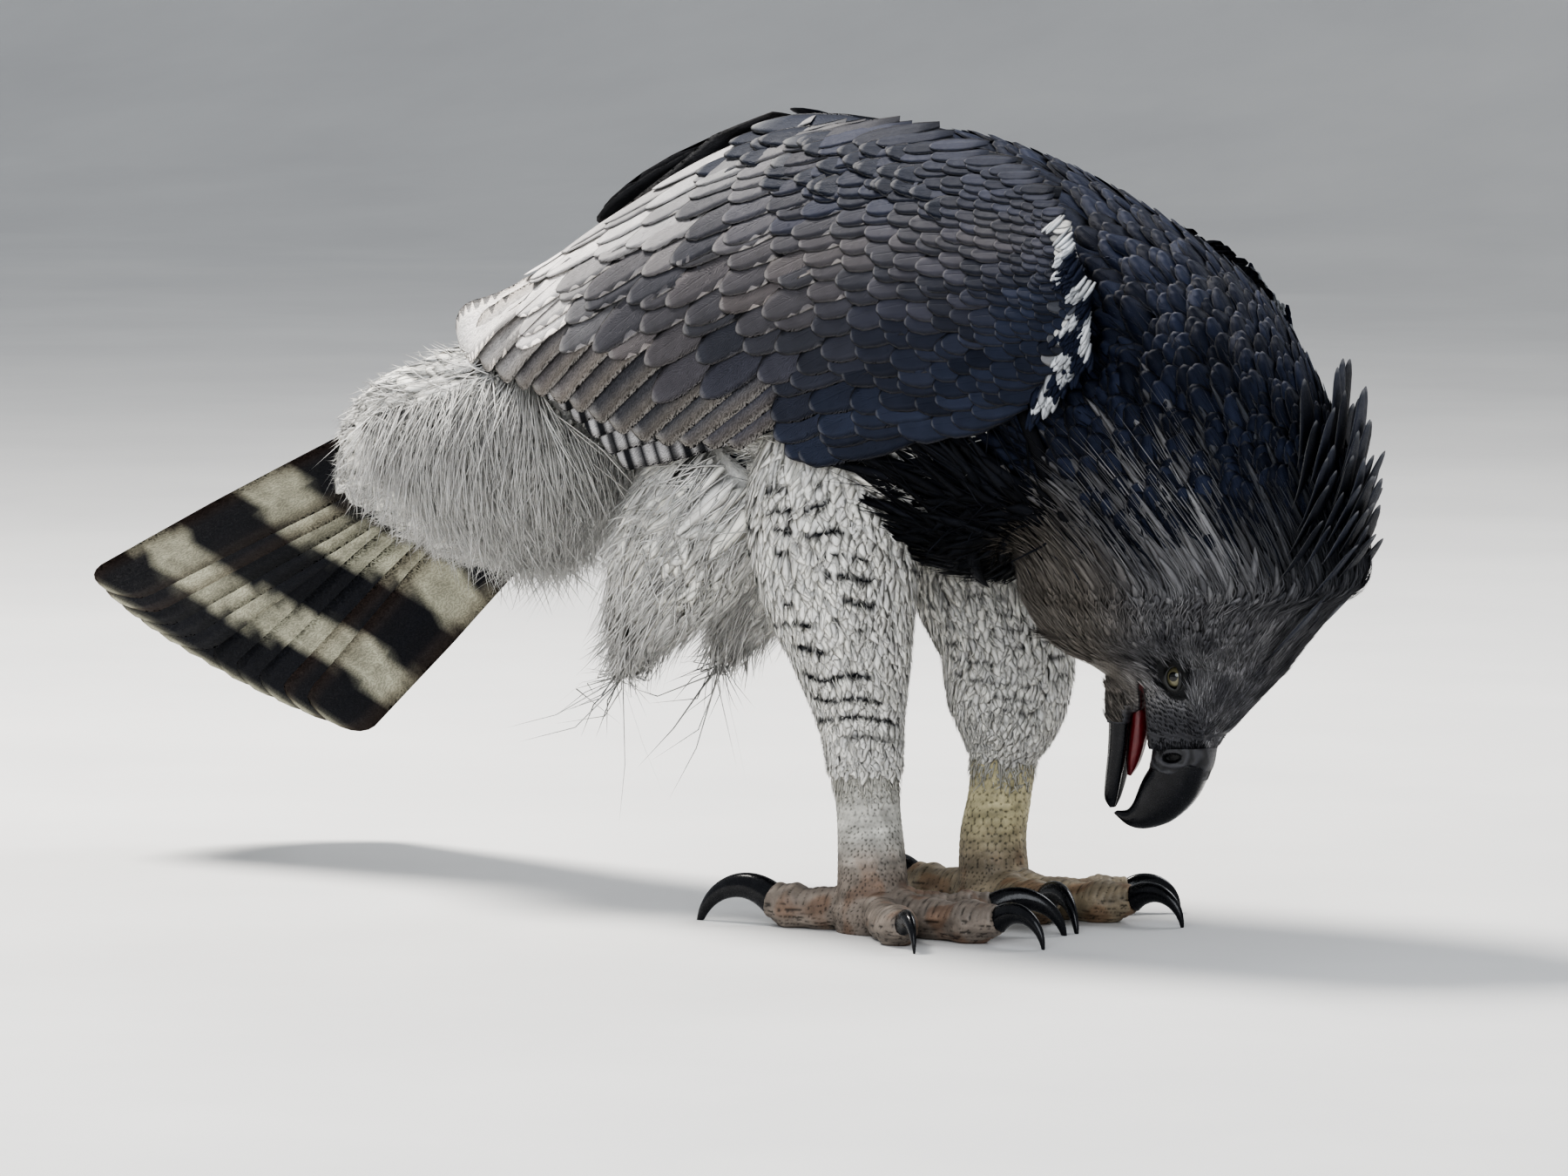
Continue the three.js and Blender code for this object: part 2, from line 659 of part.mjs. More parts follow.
// Leg: feathered shank, bare tarsus, palm, four toes and four claws.
const LEGS = [
  { name: 'right', side: -1, far: 0, lean: 0, ankle: vec(-9, -60, 118), foot: vec(-4, -HALF_STANCE, 26) },
  { name: 'left', side: 1, far: 1, lean: 10, ankle: vec(4, 58, 118), foot: vec(-4, HALF_STANCE, 26) },
];

function makeShank(leg, keepOut, grow = 0) {
  const { side, ankle, lean } = leg;
  const points = [
    vec(-30 + lean, side * 52, 284),
    vec(-30 + lean, side * 58, 240),
    vec(-25 + lean, side * 60, 198),
    vec(-15 + lean * 1.6, side * 61, 156),
    ankle.clone(),
    vec(mix(ankle.x, leg.foot.x, 0.3), mix(ankle.y, leg.foot.y, 0.3), 92),
  ];
  const radii = [40, 47, 45, leg.far ? 39 : 34, leg.far ? 34 : 25, 22.5];
  const core = limb(points, radii, 7, 12, grow || -3);
  // Plumes that hang behind the thigh.
  const plume = [vec(-88, side * 48, 262), vec(-126, side * 47, 226), vec(-156, side * 46, 190),
    vec(-180, side * 45, 152)];
  const behind = limb(plume, [42, 41, 33, 12], 4, 10, grow || -3);
  if (grow) return fuse([core, behind]);
  const draw = makeDraw(leg.side === 1 ? 37 : 41);
  // The thigh's outside at a height, and degrees round from the front over the outer side to the back.
  const outside = (line, sizes) => (t, degrees) => {
    const ahead = smoothPoint(line, t + 0.05).sub(smoothPoint(line, t - 0.05)).normalize();
    const lateral = vec(0, side, 0);
    const front = lateral.clone().cross(ahead).multiplyScalar(-side).normalize();
    const angle = rad(degrees);
    return smoothPoint(line, t)
      .addScaledVector(front, smooth(sizes, t) * Math.cos(angle))
      .addScaledVector(lateral, smooth(sizes, t) * Math.sin(angle));
  };
  const tiersOver = (line, sizes, columns, tips) => shingles(outside(line, sizes), {
    columns,
    across: (share) => mix(48, 312, share),
    start: () => 0.25,
    tiers: tips.map((tip) => ({ tip: () => tip + 0.12 * draw(), rise: 4 })),
    raised: () => 1,
    under: () => -7,
    slope: [0.05, 3],
    flip: side,
    step: 2,
    notch: 0.34,
  });
  const thigh = tiersOver(points, radii, 6, [1.9, 2.9, 3.9]);
  const hanging = tiersOver(plume, [42, 41, 33, 12], 5, [3.1]);
  return largest(cutBy(fuse([core, behind, thigh, hanging]), keepOut));
}

function makeTarsus(leg, keepOut, grow = 0) {
  const { ankle, foot } = leg;
  const start = vec(mix(ankle.x, foot.x, 0.3), mix(ankle.y, foot.y, 0.3), 92 - GAP);
  const points = [
    start,
    vec(mix(start.x, foot.x, 0.45), mix(start.y, foot.y, 0.45), 68),
    vec(foot.x - 1, foot.y, 44),
    vec(foot.x, foot.y, 22),
  ];
  const shaft = limb(points, [18.4, 17.6, 18.6, 20], 5, 10, grow, 1.1);
  return grow ? shaft : largest(cutBy(shaft, keepOut));
}

// Toes: degrees outward from straight ahead, length, radius at its root, claw length, claw radius.
const TOES = [
  { name: 'hind', turn: 172, length: 58, radius: 13, claw: 66, clawRadius: 8.2 },
  { name: 'inner', turn: -28, length: 62, radius: 13, claw: 54, clawRadius: 7.4 },
  { name: 'middle', turn: 4, length: 86, radius: 12.5, claw: 44, clawRadius: 6.4 },
  { name: 'outer', turn: 40, length: 70, radius: 11.5, claw: 38, clawRadius: 5.8 },
];
const PALM = { radius: 22, high: 17 };

function palmBody(leg, grow = 0) {
  const { foot } = leg;
  const rings = [[-0.3, 0.86], [0.1, 1], [0.5, 0.86], [0.8, 0.55], [0.96, 0.2]];
  const palm = body(rings.map(([level, share]) => range(10).map((k) => {
    const angle = (2 * Math.PI * k) / 10;
    return vec(
      foot.x + 2 + (PALM.radius + 4 + grow) * share * Math.cos(angle),
      foot.y + (PALM.radius + grow) * share * Math.sin(angle),
      12 + (PALM.high + grow) * level * (level < 0 ? 2.6 : 1),
    );
  })));
  return palm;
}

// The line of a toe: out of the palm, over two knuckles and down to its pad.
function toePoints(leg, toe) {
  const angle = rad(toe.turn) * -leg.side * -1;
  const ahead = vec(Math.cos(angle), leg.side * Math.abs(Math.sin(angle)) * Math.sign(toe.turn), 0);
  const root = leg.foot.clone().setZ(0);
  const out = (share, high) => root.clone().addScaledVector(ahead, 6 + toe.length * share).setZ(high);
  const r = toe.radius;
  return {
    ahead,
    points: [out(0, 18), out(0.3, r), out(0.58, 0.9 * r), out(0.8, r - 0.4), out(1, r + 3)],
    radii: [r, r * 0.95, r * 0.9, r, r * 0.86],
  };
}

const toeBody = (leg, toe, grow = 0) => {
  const { points, radii } = toePoints(leg, toe);
  return limb(points, radii, 5, 8, grow, 1);
};

function makeClaw(leg, toe) {
  const { ahead, points } = toePoints(leg, toe);
  const start = points[points.length - 1];
  const sweep = rad(128);
  const bend = toe.claw / sweep;
  const rings = 8;
  const side = vec(0, 0, 1).cross(ahead).normalize();
  const tilt = rad(38); // the claw first rises from the toe
  const at = (angle) => start.clone()
    .addScaledVector(ahead, GAP + bend * (Math.sin(angle - tilt) + Math.sin(tilt)))
    .setZ(start.z + bend * (Math.cos(angle - tilt) - Math.cos(tilt)));
  const horn = body(range(rings).map((k) => {
    const share = k / (rings - 1);
    const angle = sweep * share;
    const forward = ahead.clone().multiplyScalar(Math.cos(angle - tilt)).setZ(-Math.sin(angle - tilt));
    const up = forward.clone().cross(side).negate();
    const radius = mix(toe.clawRadius, 0.9, share ** 1.25);
    return range(7).map((j) => {
      const turnNow = (2 * Math.PI * j) / 7;
      return at(angle)
        .addScaledVector(side, radius * 0.82 * Math.cos(turnNow))
        .addScaledVector(up, radius * 1.1 * Math.sin(turnNow));
    });
  }));
  return horn.trimByPlane([0, 0, 1], SOLE);
}

// The part
const eagle = new THREE.Group();

// Whether each edge of a mesh joins two faces once its points are rounded to 0.0001 mm.
function isClosed({ vertProperties, triVerts }) {
  const key = (vertex) => [0, 1, 2].map((k) => Math.round(1e4 * vertProperties[3 * vertex + k])).join();
  const keys = range(vertProperties.length / 3).map(key);
  const faces = new Map();
  for (let i = 0; i < triVerts.length; i += 3) {
    const corners = [0, 1, 2].map((k) => keys[triVerts[i + k]]);
    if (new Set(corners).size < 3) continue;
    corners.forEach((from, k) => {
      const edge = [from, corners[(k + 1) % 3]].sort().join('/');
      faces.set(edge, (faces.get(edge) ?? 0) + 1);
    });
  }
  return [...faces.values()].every((count) => count === 2);
}

// The mesh of a solid without its slivers, at the first tolerance that leaves every edge with two faces.
function cleanMesh(shape) {
  const meshes = [0.2, 0.25, 0.15, 0.3, 0.1].map((tolerance) => shape.simplify(tolerance).getMesh());
  return meshes.find(isClosed) ?? meshes[0];
}

function add(name, finish, shape) {
  const [color, roughness] = FINISH[finish];
  const mesh = cleanMesh(shape);
  const geometry = new THREE.BufferGeometry();
  geometry.setAttribute('position', new THREE.BufferAttribute(new Float32Array(mesh.vertProperties), 3));
  geometry.setIndex(new THREE.BufferAttribute(new Uint32Array(mesh.triVerts), 1));
  const material = new THREE.MeshStandardMaterial({ color, roughness, metalness: 0 });
  const piece = new THREE.Mesh(geometry, material);
  piece.name = name;
  eagle.add(piece);
}

const torsoSpace = bodyLength(-0.02, PLACE.neck + 0.5, 12, 20, GAP);
const tailSpace = tailSpaceOf(-9, 22, 0);
const overTail = tailSpaceOf(-9, 80, 1);
const torsoShape = bodyLength(PLACE.tailRoot, PLACE.neck, 11, 20);
add('torso', 'white', torsoShape);
const neckSpace = bodyLength(PLACE.neck, PLACE.head, 5, 20, GAP);
const skullSpace = bodyLength(PLACE.head, PLACE.face, 12, 20, GAP);
add('neck', 'black', makeNeck([bodyLength(-0.02, PLACE.neck, 12, 20, GAP), skullSpace]));
add('head', 'grey', makeHead([neckSpace, makeTongue(GAP)]));
add('bill_upper', 'horn', makeUpperBill());
add('bill_lower', 'horn', makeLowerBill());
add('tongue', 'mouth', makeTongue().subtract(makeLowerBill()));
[['right', -1], ['left', 1]].forEach(([name, side]) => add(`eye_${name}`, 'iris', makeEye(side)));
add('tail', 'barred', largest(cutBy(makeTail(), [torsoSpace])));
add('undertail', 'white', makeUndertail([torsoSpace, overTail, tailPlug(GAP)]));
const shankSpaces = LEGS.map((leg) => makeShank(leg, [], 7));
const wings = [['wing_right', -1, 17], ['wing_left', 1, 23]];
wings.forEach(([name, side, seed]) => {
  add(name, 'slate', makeWing(side, seed, [torsoSpace, tailSpace, ...shankSpaces]));
});
LEGS.forEach((leg) => {
  const palmSpace = palmBody(leg, GAP);
  const tarsusSpace = makeTarsus(leg, [], GAP);
  add(`shank_${leg.name}`, 'white', makeShank(leg, [torsoSpace, tarsusSpace]));
  add(`tarsus_${leg.name}`, 'skin', makeTarsus(leg, [palmSpace]));
  add(`foot_${leg.name}`, 'toe', palmBody(leg).trimByPlane([0, 0, 1], SOLE));
  TOES.forEach((toe, k) => {
    const others = TOES.slice(0, k).map((other) => toeBody(leg, other, GAP));
    const shape = cutBy(toeBody(leg, toe), [palmSpace, tarsusSpace, ...others]).trimByPlane([0, 0, 1], SOLE);
    add(`toe_${toe.name}_${leg.name}`, 'toe', largest(shape));
    add(`claw_${toe.name}_${leg.name}`, 'horn', largest(makeClaw(leg, toe).subtract(toeBody(leg, toe, GAP))));
  });
});

// The floor under the middle of the outline becomes the origin.
const outline = new THREE.Box3().setFromObject(eagle);
const centre = outline.getCenter(vec(0, 0, 0));
eagle.position.set(-centre.x, -centre.y, -outline.min.z);

export default eagle;
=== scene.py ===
"""Looks of a life-size harpy eagle that stands with its head bowed to its feet and its bill open.

The packed model is the fixed frame. A skin replaces its nodes of flesh, and feathers are closed vanes
laid over the same surfaces that the solids follow. Shapes are worked out in the bird's own
millimetres (+X the way it faces, +Y its left, +Z up, floor at zero) and placed in metres at the end.
"""

import logging
import math
from abc import ABC, abstractmethod
from collections.abc import Callable
from dataclasses import dataclass
from enum import Enum
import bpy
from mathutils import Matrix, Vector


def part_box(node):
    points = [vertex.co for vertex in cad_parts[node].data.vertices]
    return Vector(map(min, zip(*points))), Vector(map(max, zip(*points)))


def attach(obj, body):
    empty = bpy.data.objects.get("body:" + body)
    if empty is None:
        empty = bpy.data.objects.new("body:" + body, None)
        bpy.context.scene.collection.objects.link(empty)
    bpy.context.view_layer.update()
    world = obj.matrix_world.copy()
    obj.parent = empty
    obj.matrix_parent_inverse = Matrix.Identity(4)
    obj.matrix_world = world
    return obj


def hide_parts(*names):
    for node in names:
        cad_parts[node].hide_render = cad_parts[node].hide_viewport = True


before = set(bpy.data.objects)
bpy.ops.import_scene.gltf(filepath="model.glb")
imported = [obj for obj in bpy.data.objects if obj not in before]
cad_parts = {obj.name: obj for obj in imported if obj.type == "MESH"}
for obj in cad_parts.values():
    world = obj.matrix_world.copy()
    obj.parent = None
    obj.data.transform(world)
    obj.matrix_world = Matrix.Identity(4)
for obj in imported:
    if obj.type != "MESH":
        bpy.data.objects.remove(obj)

from types import SimpleNamespace

import bmesh
import bpy
import numpy as np
from mathutils import Vector
from mathutils.kdtree import KDTree

LOG = logging.getLogger("harpy_eagle")
Array = np.ndarray
Form = tuple[Array, list[Array]]
Pair = tuple[float, float]
Draw = np.random.Generator
Material = bpy.types.Material
Piece = bpy.types.Object
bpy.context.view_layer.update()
TAU = 2 * math.pi

# Driving sizes of the bird, in millimetres and degrees, as in the part's source.
EYE_RADIUS = 10.0
EYE_MIDDLE = np.array([174.0, 0.0, 152.0])
EYE_APART = 27.0
HEAD_TURN = 20.0
HALF_STANCE = 56.0
TAIL_ROOT = np.array([-240.0, 0.0, 301.0])
TAIL_LENGTH = 412.0
TAIL_TURNS = (27.3, 10.0, 35.0)
FAR_WING_BACK = 12.0
SOLE = 1.2

# Directions of the head: along the bill, to the crown and to its left.
TURN = math.radians(HEAD_TURN)
HEAD_AXES = np.array([
    [0, 0, -1], [math.cos(TURN), math.sin(TURN), 0], [-math.sin(TURN), math.cos(TURN), 0]])
TO_BILL, TO_CROWN, TO_LEFT = HEAD_AXES


class Side(Enum):
    """A side of the bird, with its sign along Y."""

    RIGHT = -1
    LEFT = 1

    @property
    def word(self) -> str:
        """The side's name in node names."""
        return self.name.lower()


def unit(vectors: Array) -> Array:
    """Vectors of length 1, along the last axis."""
    return vectors / np.maximum(np.linalg.norm(vectors, axis=-1, keepdims=True), 1e-9)


def blend(low: Array | float, high: Array | float, share: Array | float) -> Array:
    """A straight mix of two values."""
    return low + (high - low) * share


def mixed(low: Array, high: Array, share: Array) -> Array:
    """A mix of two colours, by one share for each feather or point."""
    return blend(low, high, share[:, None])


def ease(low: float, high: float, value: Array) -> Array:
    """0 below low and 1 above high, with a smooth step between."""
    share = np.clip((value - low) / (high - low), 0.0, 1.0)
    return share * share * (3.0 - 2.0 * share)


def smooth_row(values: Array, place: Array) -> Array:
    """A smooth curve through equally spaced rows of values.

    Formula: between rows b and c with neighbours a and d, the Catmull-Rom cubic in the fraction f,
    which goes on straight beyond the first and the last row.

    Args:
        values: one row for each whole place, of any number of columns.
        place: where to read the curve, any shape.

    Returns:
        The value at each place.
    """
    last = len(values) - 1
    place = np.asarray(place, dtype=float)
    inside = np.clip(place, 0.0, last)
    index = np.clip(np.floor(inside).astype(int), 0, last - 1)
    f, beyond = inside - index, place - inside
    if values.ndim > 1:
        f, beyond = f[..., None], beyond[..., None]
    a, b, c, d = (values[np.clip(index + k, 0, last)] for k in (-1, 0, 1, 2))
    curve = b + 0.5 * f * (c - a + f * (2 * a - 5 * b + 4 * c - d + f * (3 * (b - c) + d - a)))
    return curve + beyond * 0.5 * (c - b)


def on_head(forward: Array | float, up: Array | float, left: Array | float = 0.0) -> Array:
    """A point from its place forward along the bill, up to the crown and left of the head's middle."""
    return EYE_MIDDLE + np.stack(np.broadcast_arrays(forward, up, left), axis=-1) @ HEAD_AXES


def head_places(points: Array) -> Array:
    """Forward, up and left of points in the head's frame, each as a row."""
    return ((points - EYE_MIDDLE) @ HEAD_AXES.T).T


def circle(count: int) -> Array:
    """Evenly spaced angles round a ring."""
    return TAU * np.arange(count) / count


def signed_power(values: Array, power: float) -> Array:
    """Powers of the sizes of values, with their signs."""
    return np.sign(values) * np.abs(values) ** power


def patches(points: Array, size: float, seed: int = 0) -> Array:
    """Smooth uneven patches between -1 and 1 over places in space.

    Formula: the sum of sines along five seeded directions, of wavelengths near size.

    Args:
        points: places in millimetres.
        size: width of a patch.
        seed: which draw of directions.

    Returns:
        One value for each point.
    """
    draw = np.random.default_rng(900 + seed)
    waves = unit(draw.normal(size=(5, 3))) * (TAU / size) * draw.uniform(0.6, 1.5, (5, 1))
    return np.sin(points @ waves.T + draw.uniform(0, 6.28, 5)).sum(axis=-1) / 3.0


# What to add to the bird's millimetres to reach the model's frame, from the packed right eye's box.
SHIFT = np.sum([np.array(corner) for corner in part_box("eye_right")], axis=0) * 500.0 - on_head(
    0.0, 0.0, -EYE_APART)


class Surface(ABC):
    """A smooth surface with two coordinates, a along the lie of the feathers and b across it."""

    flip = 1.0
    step = (0.02, 0.004)

    @abstractmethod
    def point(self, a: Array, b: Array) -> Array:
        """Places in millimetres."""

    def slopes(self, a: Array, b: Array) -> tuple[Array, Array]:
        """Change of place with a and with b."""
        da, db = self.step
        along = (self.point(a + da, b) - self.point(a - da, b)) / (2 * da)
        across = (self.point(a, b + db) - self.point(a, b - db)) / (2 * db)
        return along, across

    def normal(self, a: Array, b: Array) -> Array:
        """Direction out of the body."""
        along, across = self.slopes(a, b)
        return unit(np.cross(along, across)) * self.flip


class BodySurface(Surface):
    """The body from the root of the tail (a 0) over the neck to the face (a 13).

    Formula: at each place a ring stands between a top and a bottom point, of a smooth half width, and
    b turns round it from the left (0) over the back (0.25) to the right (0.5) and the belly (0.75).
    """

    flip = -1.0
    # top x and z, bottom x and z, half width, squareness
    TRUNK = (
        (-254, 330, -218, 262, 40, 0.95),
        (-186, 392, -150, 240, 74, 0.95),
        (-102, 434, -76, 222, 92, 0.95),
        (0, 441, -8, 212, 100, 0.95),
        (98, 414, 30, 204, 101, 0.95),
        (194, 362, 51, 203, 96, 0.95),
        (252, 284, 70, 216, 86, 1.0),
    )
    # forward, up, down, half width, squareness in the head's frame
    HEAD = (
        (-39, 78, 93, 77, 1.0),
        (-17, 62, 80, 58, 1.0),
        (0, 50, 54, 38, 1.0),
        (10, 41, 42, 32, 1.0),
        (25, 27.5, 41, 25, 0.95),
        (42, 12.5, 40, 17.5, 0.9),
    )

    def __init__(self, grow: float = 0.0) -> None:
        """Works out the rows of the rings, which lie outside the bird's own by grow."""
        rows = [(tx, 0, tz, lx, 0, lz, wide, 0, square) for tx, tz, lx, lz, wide, square in self.TRUNK]
        rows.append((*on_head(-60, 92), *on_head(-52, -92), 84, HEAD_TURN * 0.75, 1.0))
        rows += [(*on_head(forward, up), *on_head(forward, -down), wide, HEAD_TURN, square)
                 for forward, up, down, wide, square in self.HEAD]
        self.rows = np.array(rows, dtype=float)
        self.grow = grow

    def point(self, a: Array, b: Array) -> Array:
        """Places in millimetres."""
        row = smooth_row(self.rows, a)
        top, low = row[..., 0:3], row[..., 3:6]
        middle, rise = (top + low) / 2, (top - low) / 2
        high = np.linalg.norm(rise, axis=-1, keepdims=True)
        twist = np.radians(row[..., 7])
        side = np.stack([-np.sin(twist), np.cos(twist), np.zeros_like(twist)], axis=-1)
        c = signed_power(np.cos(TAU * b), row[..., 8])[..., None]
        s = signed_power(np.sin(TAU * b), row[..., 8])[..., None]
        return middle + side * (row[..., 6:7] + self.grow) * c + rise / high * (high + self.grow) * s


class WingSurface(Surface):
    """A folded wing seen from its side: a is how far forward (mm) and b how high (mm).

    Formula: at each x a chord joins the low edge to the high edge, and bulges outwards as a parabola.
    """

    step = (2.0, 2.0)
    # x, low y, low z, high y, high z, bulge, rise of the far wing
    STATIONS = np.array([
        (-312, 50, 316, 44, 328, 2, 14),
        (-270, 64, 303, 34, 352, 8, 16),
        (-210, 84, 289, 27, 391, 20, 17),
        (-150, 97, 270, 24, 424, 34, 14),
        (-85, 105, 266, 22, 449, 44, 0),
        (-20, 107, 270, 24, 455, 47, -16),
        (60, 108, 276, 42, 443, 42, -28),
        (120, 106, 286, 64, 426, 26, -30),
        (155, 103, 306, 88, 402, 12, -26),
        (176, 100, 330, 97, 372, 4, -22),
    ], dtype=float)

    def __init__(self, side: Side) -> None:
        """Chooses the wing; the right one is the near one."""
        self.side, self.flip = side, -float(side.value)

    def edges(self, x: Array) -> Array:
        """Low y and z, high y and z, bulge and far rise at x."""
        xs = self.STATIONS[:, 0]
        return smooth_row(self.STATIONS[:, 1:], np.interp(x, xs, np.arange(len(xs))))

    def share(self, x: Array, z: Array) -> Array:
        """Share of the way from the low edge to the high edge."""
        row = self.edges(x)
        return (z - row[..., 1]) / np.maximum(row[..., 3] - row[..., 1], 8.0)

    def point(self, a: Array, b: Array) -> Array:
        """Places in millimetres."""
        row = self.edges(a)
        q = self.share(a, b)
        low_y, low_z, high_y, high_z, bulge, far = (row[..., k] for k in range(6))
        span = np.hypot(high_y - low_y, high_z - low_z)
        push = bulge * 4 * q * (1 - q)
        y = blend(low_y, high_y, q) + push * (high_z - low_z) / span
        z = blend(low_z, high_z, q) - push * (high_y - low_y) / span
        left = float(self.side is Side.LEFT)
        return np.stack([a - FAR_WING_BACK * left, self.side.value * y, z + far * left], axis=-1)


class TailPlane:
    """The frame of the tail: towards its tip, to its left edge and up through its face."""

    def __init__(self) -> None:
        """Turns the plane by its pitch, yaw and roll."""
        pitch, yaw, roll = (math.radians(turn) for turn in TAIL_TURNS)
        self.tip = np.array([
            -math.cos(pitch) * math.cos(yaw), math.cos(pitch) * math.sin(yaw), -math.sin(pitch)])
        level = np.array([math.sin(yaw), math.cos(yaw), 0.0])
        face = -np.cross(self.tip, level)
        self.left = level * math.cos(roll) - face * math.sin(roll)
        self.face = unit(np.cross(self.left, self.tip))

    def place(self, down: Array, left: Array, up: Array) -> Array:
        """Points from their places down, left and up in the tail's frame."""
        return TAIL_ROOT + np.stack(np.broadcast_arrays(down, left, up), axis=-1) @ np.stack(
            [self.tip, self.left, self.face])


TAIL = TailPlane()


@dataclass(frozen=True)
class FanSurface(Surface):
    """The tail's fan: a is down from its root (mm) and b left of its middle (mm).

    Formula: a plane of some height at the root, which falls evenly down the tail by the slope and
    with the square of both coordinates.
    """

    height: float
    fall: float
    slope: float

    flip = -1.0
    step = (2.0, 2.0)

    def point(self, a: Array, b: Array) -> Array:
        """Places in millimetres."""
        return TAIL.place(a, b, self.height - b * b / self.fall - a * a / 26000.0 - a * self.slope)


@dataclass(frozen=True)
class UndertailSurface(Surface):
    """The plumes round the root of the tail: a 0 to 4 along them, b turns from the left over the top.

    Formula: an ellipse at each place, with a smooth middle, half width and half height.
    """

    grow: float = 0.0

    # down, left, up, half width, half height
    RINGS = np.array([(3, -2, -12, 44, 36), (45, -6, -20, 64, 42), (95, -8, -19, 76, 42),
                      (140, -6, -15, 72, 33), (178, -2, -9, 54, 17)], dtype=float)

    def point(self, a: Array, b: Array) -> Array:
        """Places in millimetres."""
        down, left, up, wide, high = np.moveaxis(smooth_row(self.RINGS, a), -1, 0)
        return TAIL.place(down, left + (wide + self.grow) * np.cos(TAU * b),
                          up + (high + self.grow) * np.sin(TAU * b))


@dataclass(frozen=True)
class LimbSurface(Surface):
    """A round limb: a along its line, b turns from the front (0) over the outer side to the back (0.5).

    Formula: the smooth line through the limb's points, carried outwards by a smooth radius.
    """

    side: Side
    line: list
    radii: list
    grow: float = 0.0

    @property
    def flip(self) -> float:
        """Which way the normals are turned."""
        return float(self.side.value)

    def point(self, a: Array, b: Array) -> Array:
        """Places in millimetres."""
        line = np.array(self.line, dtype=float)
        ahead = unit(smooth_row(line, a + 0.05) - smooth_row(line, a - 0.05))
        outer = np.broadcast_to(np.array([0.0, self.side.value, 0.0]), ahead.shape)
        front = unit(np.cross(outer, ahead)) * -self.side.value
        radius = (smooth_row(np.array(self.radii, dtype=float), a) + self.grow)[..., None]
        angle = (TAU * b)[..., None]
        return smooth_row(line, a) + radius * (front * np.cos(angle) + outer * np.sin(angle))


@dataclass(frozen=True)
class VaneKind:
    """The shape of one kind of feather: its rings from root to tip and its cross-section."""

    steps: tuple[float, ...]
    widths: tuple[float, ...]
    across: tuple[float, ...] = (-1.0, 0.0, 1.0)
    thick: float = 0.9
    camber: float = 0.12
    ragged: float = 0.12
    has_back: bool = True

    @property
    def section(self) -> tuple[Array, Array]:
        """Across and face (+1 top, -1 back, 0 edge) of each point round a ring."""
        top = np.array(self.across)
        back = top[1:-1][::-1] if self.has_back else top[:0]
        face = np.concatenate([[0.0], np.ones(len(top) - 2), [0.0], -np.ones(len(back))])
        return np.concatenate([top, back]), face


CONTOUR = VaneKind((0.0, 0.3, 0.6, 0.82, 0.95), (0.45, 0.85, 1.0, 0.85, 0.45), thick=0.5, camber=0.07)
SMALL = VaneKind((0.0, 0.4, 0.75, 0.94), (0.5, 1.0, 0.9, 0.4), thick=0.5, camber=0.1, ragged=0.2)
DOWNY = VaneKind((0.0, 0.25, 0.5, 0.72, 0.9), (0.3, 0.8, 1.0, 0.75, 0.4), thick=0.4, camber=0.02, ragged=0.35)
WISP = VaneKind((0.0, 0.35, 0.7), (1.0, 0.85, 0.5), thick=0.3, camber=0.0, ragged=0.0, has_back=False)
COVERT = VaneKind(
    (0.0, 0.25, 0.5, 0.68, 0.8, 0.9, 0.96, 0.99), (0.5, 0.85, 1.0, 0.97, 0.86, 0.66, 0.42, 0.2),
    across=(-1.0, -0.45, 0.0, 0.5, 1.0), thick=0.2, camber=0.05, ragged=0.05)
FLIGHT = VaneKind(
    tuple(np.round(np.concatenate([np.linspace(0, 0.95, 44), [0.965, 0.978, 0.988, 0.995]]), 4)),
    tuple(np.round(np.concatenate([np.linspace(0.25, 0.9, 12), np.linspace(0.92, 1.0, 20),
                                   np.linspace(1.0, 0.96, 12), [0.9, 0.78, 0.6, 0.35]]), 3)),
    across=(-1.0, -0.5, -0.05, 0.05, 0.5, 1.0), thick=0.8, camber=0.02, ragged=0.0)


@dataclass
class Vanes:
    """Feathers as arrays: N vanes of R rings of P points and a tip each."""

    kind: VaneKind
    points: Array
    along: Array
    across: Array
    roots: Array
    root_map: Array
    chance: Array
    colours: Array | None = None
    rim: Array | float = 0.0

    @property
    def count(self) -> int:
        """How many vanes there are."""
        return len(self.points)

    def tones(self, low: float, spread: float) -> Array:
        """A brightness for each vane, from low up by chance."""
        return (low + spread * self.chance)[:, None]

    def faces(self) -> list[Array]:
        """Corner indices of every vane: quads between rings, a cap at the root and a fan at the tip."""
        rings = len(self.kind.steps)
        around = len(self.kind.section[0])
        k = np.arange(around)
        after = (k + 1) % around
        quads = [np.stack([r * around + k, r * around + after, (r + 1) * around + after,
                           (r + 1) * around + k], axis=-1) for r in range(rings - 1)]
        last = (rings - 1) * around
        tips = np.stack([last + k, last + after, np.full(around, rings * around)], axis=-1)
        root = np.array([[0, around - j, around - 1 - j] for j in range(1, around - 1)])
        one = [*quads, tips, root]
        size = rings * around + 1
        offsets = (np.arange(self.count) * size)[:, None, None]
        return [(block[None] + offsets).reshape(-1, block.shape[1]) for block in one]


def vanes_on(shaft: Array, out: Array, lean: Array | float, *shape) -> Vanes:
    """Vanes that lie across their shafts, and whose faces turn a little sideways.

    Args:
        shaft: places, as for build_vanes.
        out: direction out of the body at each.
        lean: how far one edge rises for each unit across.
        shape: what else build_vanes takes.

    Returns:
        The vanes.
    """
    ahead = unit(np.gradient(shaft, axis=1))
    side = unit(np.cross(out, ahead))
    side = unit(side + out * lean)
    return build_vanes(shaft, side, unit(np.cross(ahead, side)), *shape)


